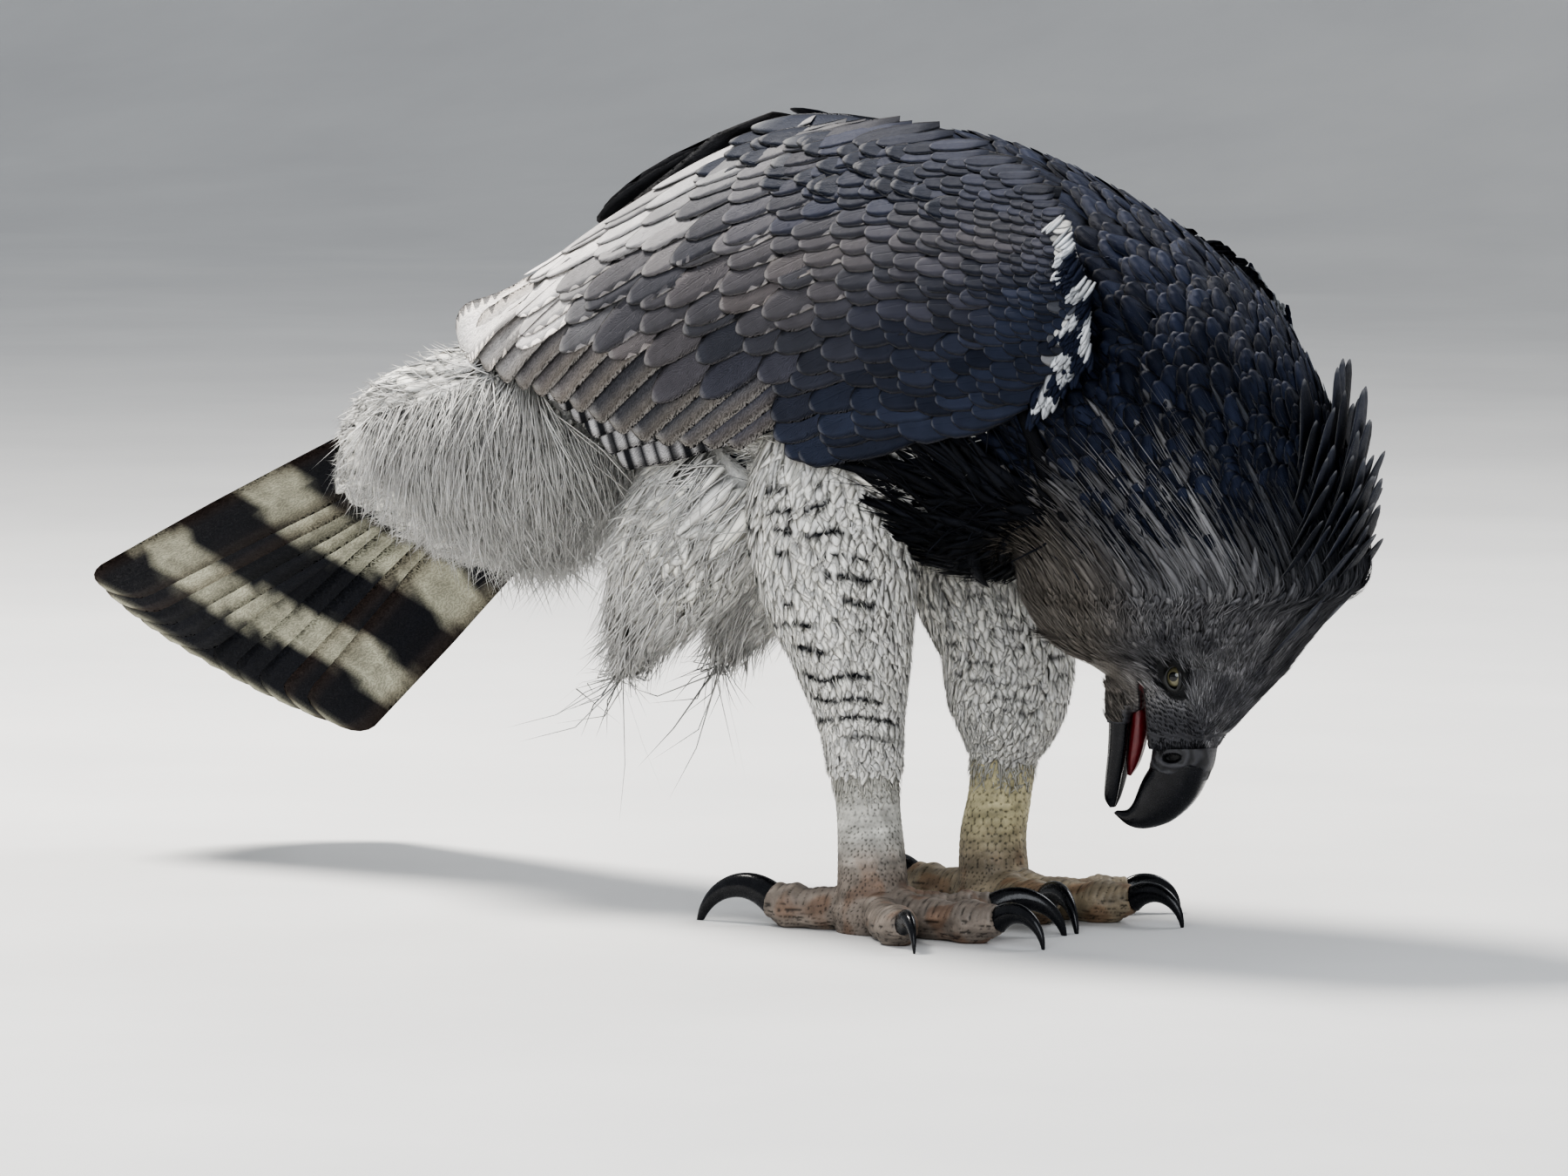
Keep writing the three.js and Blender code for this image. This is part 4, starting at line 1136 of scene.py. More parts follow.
@dataclass(frozen=True)
class Leg:
    """Places of one leg's bones, shared by its feathers, its scaly skin and its claws."""

    side: Side

    @property
    def ankle(self) -> Array:
        """Where the bare part starts, in millimetres."""
        return np.array(ANKLE[self.side])

    @property
    def foot(self) -> Array:
        """Middle of the palm."""
        return np.array([-4.0, HALF_STANCE * self.side.value, 26.0])

    @property
    def low_ankle(self) -> Array:
        """Where the leg's feathers end."""
        x, y, _ = blend(self.ankle, self.foot, 0.3)
        return np.array([x, y, 92.0])

    def shank(self, grow: float = 0.0) -> LimbSurface:
        """The feathered leg from the body to the ankle."""
        s, lean, is_far = self.side.value, LEG_LEAN[self.side], self.side is Side.LEFT
        line = [(-30 + lean, s * 52, 284), (-30 + lean, s * 58, 240), (-25 + lean, s * 60, 198),
                (-15 + 1.6 * lean, s * 61, 156), self.ankle, self.low_ankle]
        radii = [40, 47, 45, 39 if is_far else 34, 34 if is_far else 25, 22.5]
        return LimbSurface(self.side, line, radii, grow)

    def plumes(self, grow: float = 0.0) -> LimbSurface:
        """The long feathers that hang behind the thigh."""
        s = self.side.value
        line = [(-88, s * 48, 262), (-126, s * 47, 226), (-156, s * 46, 190), (-180, s * 45, 152)]
        return LimbSurface(self.side, line, [42, 41, 33, 12], grow)

    def tarsus(self) -> LimbSurface:
        """The bare leg from the feathers to the palm."""
        start, foot = self.low_ankle, self.foot
        middle = blend(start, foot, 0.45)
        line = [start, (middle[0], middle[1], 68), (foot[0] - 1, foot[1], 44), (foot[0], foot[1], 18)]
        return LimbSurface(self.side, line, [18.4, 17.6, 18.6, 20])


def wing_core(side: Side) -> Form:
    """The flat inside of a folded wing, which the wing's feathers lie on."""
    wing = WingSurface(side)
    x = np.linspace(-296, 168, 44)[:, None]
    q = np.linspace(0.05, 0.95, 14)[None, :]
    row = wing.edges(x)
    z = blend(row[..., 1], row[..., 3], q)
    x = np.broadcast_to(x, z.shape)
    outer = wing.point(x, z)
    inward = -wing.normal(x, z)
    deep = 22.0 * np.minimum(ease(-300, -190, x), ease(172, 110, x) * 0.8 + 0.2)
    outer = outer + inward * 4.0
    inner = outer + inward * (deep + 2.0)[..., None]
    return closed_grid(np.concatenate([outer, inner[:, ::-1]], axis=1))


@dataclass(frozen=True)
class Skin:
    """The bird's skin as one closed surface, inside the solids by the coat's depth."""

    depth: float = 4.0
    leg_depth: float = 5.0
    plume_depth: float = 7.0
    voxel: float = 3.4

    def build(self, coat: Coat, finish: Material) -> None:
        """Joins body, legs, wings and tail root, and takes its colours from the feathers over it.

        Formula: the map turns round the long axis, and runs along it.

        Args:
            coat: the feathers, already laid.
            finish: the skin's material.
        """
        forms = [loft(BodySurface(-self.depth), 0.0, 9.6, 70, 56),
                 loft(UndertailSurface(-self.plume_depth), 0.0, 3.9, 16, 28),
                 *[wing_core(side) for side in Side]]
        for leg in map(Leg, Side):
            forms += [loft(leg.shank(-self.leg_depth), 0.0, 5.0, 26, 28),
                      loft(leg.plumes(-self.plume_depth), 0.0, 2.9, 16, 24)]
        points, blocks = fused("skin", forms, self.voxel)
        points = relaxed(points, blocks, 5)
        # The skin takes the colour of the nearest feather, darkened by 0.8 as painted shade under the coat.
        tint = nearest_hues(points, np.concatenate(coat.roots), np.concatenate(coat.hues)) * 0.8
        turn = np.arctan2(points[:, 2] - 300.0, points[:, 1]) / TAU + 0.5
        flat = 0.02 + 0.96 * np.stack([turn, (points[:, 0] + 640) / 960], axis=-1)
        new_piece("skin", (points, blocks), finish,
                  ("torso", "neck", "undertail", "shank_right", "shank_left"),
                  {"tint": with_alpha(tint)}, flat)
        LOG.info("skin: %d points", len(points))


@dataclass(frozen=True)
class BodyCoat:
    """Feathers of the back, neck, bib and belly."""

    surface: BodySurface = BodySurface()

    def back(self) -> list[Vanes]:
        """Blue-black feathers of the back and rump, greyer behind."""
        tract = Tract(self.surface, (6.6, 0.1), (0.0, 0.5), (8.5, 14), (34, 58), (17, 30),
                      tip_high=4.0, lean=0.7, seed=3)
        vanes, a, _ = tract.grow(lambda a, b, p: np.abs(b - 0.25) < 0.235)
        base = mixed(HUE.slate, HUE.blue_black, ease(0.5, 2.5, a)) * vanes.tones(0.75, 0.6)
        return [shade(vanes, base, root=0.5, rim=0.16)]

    def neck(self) -> list[Vanes]:
        """Blue-black feathers right round the neck, down to the bib."""
        tract = Tract(self.surface, (7.5, 4.9), (0.0, 1.0), (5.5, 7.5), (28, 38), (10, 16),
                      tip_high=2.8, lean=0.4, seed=5, untidy=0.1)
        vanes, _, b = tract.grow(lambda a, b, p: (a > 5.25) | (np.abs(b - 0.25) < 0.25))
        base = mixed(HUE.blue_black, HUE.black, ease(0.0, 0.4, -np.sin(TAU * b)))
        shade(vanes, base * vanes.tones(0.75, 0.5), root=0.6, rim=0.1)
        fine = Tract(self.surface, (7.6, 5.0), (0.0, 1.0), (4.0, 5.0), (24, 34), (1.6, 2.2), WISP,
                     tip_high=3.6, loose=0.01, lean=0.0, seed=6, untidy=0.14)
        wisps, *_ = fine.grow(lambda a, b, p: (a > 5.3) | (np.abs(b - 0.25) < 0.25))
        base = blend(HUE.blue_black, HUE.slate, 0.15) * wisps.tones(0.6, 0.8)
        return [vanes, shade(wisps, base, root=0.7)]

    def bib(self) -> list[Vanes]:
        """Loose black feathers whose ragged tips hang over the white belly."""
        tract = Tract(self.surface, (6.3, 5.02), (0.53, 0.97), (6.5, 6.5), (46, 60), (9, 9), DOWNY,
                      root_high=1.0, tip_high=6.0, loose=0.08, lean=0.3, seed=7, untidy=0.3)
        fine = Tract(self.surface, (6.2, 5.0), (0.53, 0.97), (5.0, 5.0), (50, 62), (1.6, 1.6), WISP,
                     root_high=1.0, tip_high=8.0, loose=0.12, lean=0.0, seed=8, untidy=0.4)
        vanes, wisps = tract.grow()[0], fine.grow()[0]
        return [shade(vanes, HUE.black * vanes.tones(0.8, 0.8), root=0.9),
                shade(wisps, HUE.black * wisps.tones(1, 1.5), root=0.9)]

    def belly(self) -> Vanes:
        """White plumes of the belly and flanks, with few dark dashes."""
        tract = Tract(self.surface, (5.0, 0.05), (0.47, 1.03), (8, 9), (32, 50), (15, 19), DOWNY,
                      tip_high=3.0, loose=0.02, lean=0.3, seed=11, untidy=0.25)
        vanes, a, b = tract.grow()
        cream = mixed(HUE.white, HUE.cream, 0.4 * vanes.chance ** 3)
        dash = (np.random.default_rng(5).random(vanes.count) < 0.025) & (a < 3.6) & (
            np.sin(TAU * b) > -0.8)
        return shade(vanes, cream, tip=np.where(dash[:, None], HUE.slate, cream), turn=0.45, root=0.92)

    def down(self) -> Vanes:
        """Fine white filaments over the belly's plumes."""
        tract = Tract(self.surface, (4.95, 0.05), (0.48, 1.02), (4.3, 4.6), (24, 40), (1.3, 1.6), WISP,
                      tip_high=5.0, loose=0.07, lean=0.0, seed=13, untidy=0.26)
        return whitened(tract.grow()[0])


class SlantedWing(WingSurface):
    """The folded wing with leaning rows: a is x at the wing's middle height."""

    SLANT = 0.5
    LEVEL = 350.0

    def straight(self, a: Array, b: Array) -> Array:
        """The x of a place."""
        return a - self.SLANT * (b - self.LEVEL)

    def point(self, a: Array, b: Array) -> Array:
        """Places in millimetres."""
        return super().point(self.straight(a, b), b)


@dataclass(frozen=True)
class WingCoat:
    """The feathers of one folded wing."""

    side: Side

    # tip x, length, width and spacing of each row of coverts, in millimetres
    TIERS = (
        (-236, 122, 29, 15), (-200, 120, 28, 14.5), (-162, 116, 27.5, 14), (-124, 112, 27, 13.5),
        (-86, 98, 26, 13), (-50, 82, 25, 12.5), (-20, 68, 23, 12), (6, 56, 21, 11),
        (28, 48, 21, 10.5), (48, 43, 19, 9.5), (66, 38, 17, 9), (82, 35, 16, 8.5), (96, 32, 15, 8),
        (109, 30, 14, 7.5), (121, 27, 13, 7), (132, 25, 12, 6.5), (142, 22, 11, 6.2), (150, 19, 10, 5.8),
        (157, 16, 9, 5.2), (163, 14, 8, 4.8), (169, 12, 7.4, 4.5))
    SECONDARIES = 14
    PRIMARIES = 9
    # x and height of the foremost point of the wing's edge
    BEND = (176, 352)

    @property
    def lean(self) -> float:
        """Which edge of each feather is raised: always the lower one."""
        return -float(self.side.value)

    def lie(self, a: Array, b: Array, draw: Draw) -> Array:
        """Steps of the slanted wing's coordinates along the lie.

        Formula: feathers point back and down, by 27 degrees below level behind, 12 in front and 4
        less at the low edge.
        """
        slope = blend(27.0, 12.0, ease(-10, 120, SlantedWing(self.side).straight(a, b)))
        turn = np.radians(slope - 4.0 * ease(310, 280, b) + draw.normal(0, 1.3, len(a)))
        return np.stack([-np.cos(turn) - SlantedWing.SLANT * np.sin(turn), -np.sin(turn)], axis=-1)

    def hue(self, points: Array, chance: Array) -> Array:
        """Colour by place: painted sunlight pales it above the rear, slate in the middle, painted shade makes
        it blue-black low in front, and painted shade darkens the far wing.
        """
        x, z = points[:, 0], points[:, 2]
        patch, luck = patches(points, 60, 3) * 0.2, chance - 0.5
        # Pale painted sunlight on the upper rear of the wing.
        painted_sunlight = ease(0.1, 1.05, (z - 350) / 130 + (-x - 90) / 130 + patch + 0.5 * luck)
        cape = ease(-90, 0, x + 60 * luck) * ease(384, 412, z + 16 * luck)
        # deep: blue-black painted shade low in front, together with the shoulder cape's own dark colour.
        deep = np.maximum(ease(-0.3, 0.9, (352 - z) / 90 + (x + 20) / 200 + patch), 0.85 * cape)
        navy = blend(HUE.blue_black * 1.5, HUE.slate * 0.6, 0.35) * (0.8 + 0.4 * chance[:, None])
        painted_sunlit = mixed(HUE.grey_pale * 1.05, HUE.white * (0.9, 0.87, 0.87), ease(-110, -250, x))
        base = mixed(HUE.slate * 1.25, HUE.slate_brown, 0.2 + 0.4 * chance)
        base = mixed(mixed(base, navy, deep), painted_sunlit, painted_sunlight * ease(110, 40, x) * (1 - cape) * 0.8)
        # Painted shade darkens the far wing, its upper feathers most.
        if self.side is Side.RIGHT:
            return base
        return mixed(base, HUE.black * 1.5, 0.35 + 0.6 * ease(0.72, 0.9, WingSurface(self.side).share(x, z)))

    def from_front(self, x: Array, z: Array, bow: float) -> Array:
        """How far a place lies behind the wing's front edge, a parabola."""
        return self.BEND[0] - bow * ((z - self.BEND[1]) / 55) ** 2 - x

    def coverts(self) -> list[Vanes]:
        """Rows of coverts from the wing's bend to the greater coverts."""
        wing = SlantedWing(self.side)
        groups = []
        for number, (tip, length, width, gap) in enumerate(self.TIERS):
            start, high = tip + length * 0.92, 0.012 * length
            tract = Tract(wing, (start, start - 0.5), (262, 456), (gap, gap), (length, length),
                          (width, width), COVERT, root_high=-0.5 - high, tip_high=0.9 + high,
                          lean=0.6 * self.lean, untidy=0.05, seed=40 + number)
            least = 0.13 if length > 90 else -0.12
            fall, back = length * 0.45, length * (0.89 if length > 60 else 0.6)

            def is_on_wing(a: Array, b: Array, points: Array) -> Array:
                """Whether a feather's root and its tip lie on the wing."""
                x = wing.straight(a, b)
                share = wing.share(x, b)
                return (share > 0.03) & (share < 1.0) & (x < self.BEND[0]) & (
                    wing.share(x - back, b - fall) > least)

            vanes, *_ = tract.grow(is_on_wing, self.lie)
            base = self.hue(vanes.points.mean(axis=1), vanes.chance)
            tips = vanes.points[:, -1]
            front = ease(24, 16, self.from_front(tips[:, 0], tips[:, 2], 22)) * ease(
                -0.2, 0.1, patches(tips, 17, 8)) * ease(418, 400, tips[:, 2])
            base = mixed(base, HUE.white * 0.6, 0.9 * front)
            light = base.mean(axis=1)
            groups.append(shade(vanes, base, fringe=base * 1.25, root=0.85,
                                rim=0.06 + 0.4 * light / (light + 0.07)))
        return [*groups, self.margin()]

    def margin(self) -> Vanes:
        """Fine feathers of the wing's front edge, white with dark spots."""
        wing = WingSurface(self.side)
        tract = Tract(wing, (178, 140), (284, 430), (2.2, 2.5), (11, 13), (3.8, 4.6), SMALL,
                      root_high=-0.3, tip_high=2.0, lean=0.25 * self.lean, untidy=0.12, seed=61)
        vanes, *_ = tract.grow(
            lambda a, b, p: (wing.share(a, b) > 0.02) & (wing.share(a, b) < 0.98)
            & (self.from_front(a, b, 20) < 8 + 9 * ease(345, 300, b) + 6 * patches(p, 17, 62)),
            lambda a, b, draw: np.stack([-0.5 + 0.15 * draw.normal(size=len(a)), -np.ones_like(a)], axis=-1))
        dark = ease(0.0, 0.2, patches(vanes.roots, 11, 63) + 0.04)
        pale = HUE.white * (0.92, 0.96, 1.04) * vanes.tones(0.5, 0.25)
        return shade(vanes, mixed(pale, HUE.blue_black * 1.5, dark), root=0.8)

    def shafts(self, x: Array, high: Array, turns: Pair, lengths: Pair, half: Pair, rise: Pair,
               lean: float, seed: int) -> Vanes:
        """Long feathers in a row, whose sizes run from those of the first to those of the last.

        Args:
            x: of each tip.
            high: share of the way up the wing at each tip.
            turns: degrees above level.
            lengths: in millimetres.
            half: half width.
            rise: out of the wing at the root and at the tip.
            lean: how much one edge is raised.
            seed: which draw.

        Returns:
            The vanes.
        """
        wing = WingSurface(self.side)
        share = np.linspace(0, 1, len(x))
        row = wing.edges(x)
        u = np.append(FLIGHT.steps, 1.0)
        reach = (1 - u)[None] * blend(*lengths, share)[:, None]
        bend = np.radians(blend(*turns, share))[:, None] + 0.10 * (1 - u)[None]
        x = x[:, None] + reach * np.cos(bend)
        z = blend(row[:, 1], row[:, 3], high)[:, None] + reach * np.sin(bend)
        out, half = wing.normal(x, z), blend(*half, share)
        shaft = wing.point(x, z) + out * blend(*rise, u)[None, :, None]
        place = np.linspace(0.05, 0.95, len(x))
        return vanes_on(shaft, out, (lean * self.lean / half)[:, None, None], half, FLIGHT,
                        np.stack([place, place], axis=-1), np.random.default_rng(seed))

    def secondaries(self) -> Vanes:
        """The long inner feathers, each over the next below it."""
        share = np.linspace(0, 1, self.SECONDARIES)
        vanes = self.shafts(blend(-306.0, -74.0, share), 0.06 + 0 * share, (29.0, 23.0), (250.0, 190.0),
                            (24.0, 21.0), (-7.0, -0.6), 1.7, 71)
        # The foremost secondaries turn slate and then blue-black: painted shade, low in front as in hue.
        low = mixed(HUE.slate, HUE.blue_black * 1.5, ease(0.75, 1.0, share))
        base = mixed(self.hue(vanes.points.mean(axis=1), vanes.chance), low, ease(0.3, 0.85, share))[:, None]
        along = vanes.along[None, :, None]
        edge = np.abs(vanes.across)[None, :, None] ** 3
        worn, faint = (HUE.tail_brown * 2.6, 0.65) if self.side is Side.LEFT else (HUE.buff * 1.5, 0.12)
        bars = ease(0.2, 0.8, np.sin(along * 30 + 2.0 * vanes.chance[:, None, None]))
        colour = blend(base, base * 0.3, faint * bars)
        vanes.colours = blend(colour, worn, 0.35 * edge * ease(0.4, 0.8, along))
        vanes.rim = 0.45
        return vanes

    def primaries(self) -> Vanes:
        """The barred outer feathers that show under the inner ones."""
        share = np.linspace(0, 1, self.PRIMARIES)
        vanes = self.shafts(blend(-160.0, -262.0, share), blend(-0.05, 0.10, share), (5.0, 15.0),
                            (170.0, 200.0), (13.0, 15.0), (-5.0, -2.5), 1.0, 73)
        bars = ease(-0.2, 0.3, np.sin(vanes.along[None, :, None] * 88 + 3 * vanes.chance[:, None, None]))
        vanes.colours = blend(HUE.grey_pale, HUE.black, bars)
        return vanes

    def scapulars(self) -> Vanes:
        """Big loose feathers of the shoulder, over the wing's upper edge."""
        wing = WingSurface(self.side)
        tract = Tract(wing, (122, -18), (400, 470), (12, 13), (80, 104), (24, 30), COVERT,
                      root_high=-13.0, tip_high=3.4, lean=0.6 * self.lean, untidy=0.1, seed=81)
        vanes, a, _ = tract.grow(
            lambda a, b, p: (wing.share(a, b) > 0.88) & (wing.share(a, b) < 1.03),
            lambda a, b, draw: np.stack([-np.ones_like(a), -0.26 + draw.normal(0, 0.05, len(a))], axis=-1))
        dark = blend(HUE.blue_black * 1.2, HUE.slate * 0.6, 0.5)
        pale = mixed(HUE.grey_pale, HUE.slate_pale, vanes.chance) * 0.7
        pale = mixed(dark, pale, ease(0.5, 0.9, vanes.chance) * ease(60, 10, a))
        return shade(vanes, dark, tip=pale, turn=0.84, root=0.5, rim=0.3)

    def build(self, coat: Coat, finish: Material) -> None:
        """Makes the wing's pieces."""
        word = self.side.word
        coat.lay(f"coverts_{word}", [*self.coverts(), self.scapulars()], finish, "feathers_slate",
                 (f"wing_{word}",))
        coat.lay(f"flight_{word}", [self.secondaries(), self.primaries()], finish, "feathers_slate",
                 is_strip=True)


@dataclass(frozen=True)
class TailFan:
    """Twelve barred tail feathers and the coverts over and under their roots."""

    count: int = 12
    # place along the feather and half width of each pale bar
    BARS = ((0.36, 0.055), (0.60, 0.06), (0.84, 0.05))

    def quills(self) -> Vanes:
        """The tail feathers: the middle pair lies on top and each covers the next outwards."""
        draw = np.random.default_rng(91)
        number = np.arange(self.count)
        share, away = (number + 0.5) / self.count, np.abs(number - 5.5)
        u = np.append(FLIGHT.steps, 1.0)
        down = 6 + u[None] * ((TAIL_LENGTH - 0.75 * away ** 2)[:, None] - 6)
        left = (share - 0.5)[:, None] * blend(50.0, 184.0, down / TAIL_LENGTH)
        up = 3.0 - left ** 2 / 900 - down ** 2 / 26000 - 0.45 * away[:, None]
        half = 23.0 + 2.0 * draw.random(self.count)
        vanes = vanes_on(TAIL.place(down, left, up), np.broadcast_to(TAIL.face, (*down.shape, 3)),
                         (2 * left / 900)[..., None], half, FLIGHT, np.stack([share, share], axis=-1), draw)
        along = vanes.along[None, :, None]
        wave = 0.012 * np.sin(vanes.across * 3)[None, :, None] + 0.01 * draw.normal(size=(self.count, 1, 1))
        pale = ease(0.985, 0.995, along)
        for place, wide in self.BARS:
            pale = np.maximum(pale, 1 - ease(wide * 0.75, wide, np.abs(along + wave - place)))
        mottle = 0.75 + 0.35 * draw.random((self.count, vanes.points.shape[1], 1))
        # The pale bars are dimmed to 0.8 of their colour as painted shade.
        colour = blend(HUE.black, HUE.tail_pale * 0.8 * mottle, pale * 0.9)
        rim = np.abs(vanes.across)[None, :, None] ** 4 * (away > 4)[:, None, None]
        vanes.colours = blend(colour, HUE.tail_brown, 0.3 * rim)
        return vanes

    def coverts(self) -> list[Vanes]:
        """Streaked feathers over the tail's root, and on the plumes below them."""
        made = []
        for surface, length, width, seed in (
                (FanSurface(11.0, 300.0, 0.06), (0, 74), (-33, 33), 93),
                (UndertailSurface(), (0.0, 3.3), (0.02, 0.48), 94)):
            tract = Tract(surface, length, width, (11, 13), (46, 58), (18, 22), ahead=1.0,
                          tip_high=3.5, lean=0.7, seed=seed)
            vanes, *_ = tract.grow()
            middle = np.maximum((np.abs(vanes.across) < 0.4) * (vanes.along > 0.4), (seed == 93) * 0.8)
            streak = middle[None, :, None] * (vanes.chance > 0.55)[:, None, None]
            vanes.colours = blend(HUE.white * 0.92, HUE.slate, streak)
            made.append(vanes)
        return made

    def fluff(self) -> list[Vanes]:
        """White plumes under the tail's root, with fine filaments."""
        surface = UndertailSurface()
        low = Tract(surface, (0.0, 3.9), (0.0, 1.0), (9, 9), (52, 50), (16, 16), DOWNY, ahead=1.0,
                    tip_high=3.0, loose=0.04, lean=0.3, seed=95, untidy=0.3)
        fine = Tract(surface, (0.0, 4.0), (0.0, 1.0), (4.0, 4.0), (40, 44), (1.4, 1.5), WISP, ahead=1.0,
                     tip_high=5.0, loose=0.13, lean=0.0, seed=97, untidy=0.26)
        vanes, wisps = (tract.grow(self.is_below)[0] for tract in (low, fine))
        return [shade(vanes, creamy(vanes, 0.35), root=0.92), whitened(wisps), self.hanging(surface)]

    @staticmethod
    def is_below(a: Array, b: Array, points: Array) -> Array:
        """Not where the upper coverts and the tail feathers lie on the plumes."""
        return np.sin(TAU * b) < 0.35

    @staticmethod
    def hanging(surface: Surface, count: int = 4500) -> Vanes:
        """Filaments that hang from the front of the white mass and join it to the flanks'."""
        draw = np.random.default_rng(98)
        a, b = draw.uniform(0.0, 2.4, count), draw.uniform(0.52, 0.98, count)
        aim = np.array([0.1, 0.0, -1.0]) + 0.2 * draw.normal(size=(count, 3))
        vanes = hairs(surface.point(a, b), surface.normal(a, b), aim, draw.uniform(25, 62, count),
                      np.full(count, 0.55), draw.uniform(0.05, 0.45, count), draw)
        return whitened(vanes, 0.9, 0.97)


@dataclass(frozen=True)
class LegCoat:
    """White, dark-barred feathers of one leg and the plumes that hang behind it."""

    leg: Leg

    def bars(self, points: Array) -> Array:
        """How dark a place is: wavy dashes about 13 mm apart on the near leg, finer and fewer beyond."""
        near = self.leg.side is Side.RIGHT
        pitch = 13.0 if near else 9.0
        wave = np.sin((points[..., 2] + 3.5 * patches(points, 36, 5)) * TAU / pitch)
        dash = patches(points * np.array([1, 1, 0.35]), 24 if near else 15, 6)
        lower = ease(276, 240, points[..., 2]) * ease(100, 118, points[..., 2])
        thin = 0.58 if near else 0.66
        return ease(thin, thin + 0.3, wave) * ease(-0.18, 0.1, dash) * lower * (1.0 if near else 0.75)

    def build(self, coat: Coat, finish: Material) -> None:
        """Makes the leg's feathers."""
        leg, word = self.leg, self.leg.side.word
        round_it = (0.0, 1.0)
        shank = Tract(leg.shank(), (0.05, 4.98), round_it, (5.2, 3.2), (24, 8), (10, 4.6), DOWNY, ahead=1.0,
                      root_high=-2.5, tip_high=(2.6, -1.4), loose=0.01, lean=0.2, seed=101, untidy=0.2)
        fluff = Tract(leg.shank(), (0.05, 4.98), round_it, (3.7, 2.6), (19, 7), (1.3, 0.8), WISP, ahead=1.0,
                      tip_high=(3.4, -0.6), loose=0.03, lean=0.0, seed=102, untidy=0.35)
        cuff = Tract(leg.tarsus(), (-0.15, 0.75), round_it, (2.3, 2.6), (8, 5), (1.8, 1.2), WISP, ahead=1.0,
                     root_high=-0.5, tip_high=(2.2, 0.3), lean=0.0, seed=104, untidy=0.35)
        plume = Tract(leg.plumes(), (0.05, 2.7), round_it, (8.5, 8), (58, 52), (14, 13), DOWNY, ahead=1.0,
                      tip_high=3.0, loose=0.03, lean=0.3, seed=103, untidy=0.25)
        fine = Tract(leg.plumes(), (0.0, 2.9), round_it, (4.2, 4.0), (40, 48), (1.3, 1.4), WISP, ahead=1.0,
                     tip_high=5.0, loose=0.10, lean=0.0, seed=105, untidy=0.28)
        # long loose filaments that trail from the hanging plumes
        trail = Tract(leg.plumes(), (0.9, 3.0), (0.1, 0.9), (6.0, 5.0), (62, 84), (1.3, 1.3), WISP, ahead=1.0,
                      tip_high=9.0, loose=0.16, lean=0.0, seed=106, untidy=0.25)
        vanes, fuzz, short, hanging, wisps, trails = (
            tract.grow()[0] for tract in (shank, fluff, cuff, plume, fine, trail))
        shade(short, blend(HUE.white, HUE.cream, 0.5) * 0.9, root=0.9)
        coat.lay(f"leg_feathers_{word}", [self.stripe(vanes, 0.92), self.stripe(fuzz, 0.97), short], finish,
                 "feathers_white")
        shade(hanging, creamy(hanging, 0.4), root=0.92)
        coat.lay(f"plumes_{word}", [hanging, whitened(wisps), whitened(trails)], finish, "feathers_white")

    def stripe(self, vanes: Vanes, root: float) -> Vanes:
        """Colours feathers white with the leg's bars, by the place of each of their points."""
        shade(vanes, creamy(vanes, 0.35), root=root)
        vanes.colours = blend(vanes.colours, HUE.black * 1.5, self.bars(vanes.points)[..., None])
        return vanes


def head_hue(points: Array) -> Array:
    """The head's grey in streaks, buff below and slate on the nape."""
    forward, up, _ = head_places(points)
    streak = 0.5 + 0.5 * patches(points * np.array([1, 1, 0.35]), 16, 61)
    base = mixed(HUE.grey * 0.75, HUE.grey_pale, 0.1 + 0.6 * streak)
    base = mixed(base, HUE.buff * 0.85, 0.6 * ease(0, -45, up))
    return mixed(base, HUE.slate, 0.8 * ease(35, 75, up) * ease(-10, -50, forward))


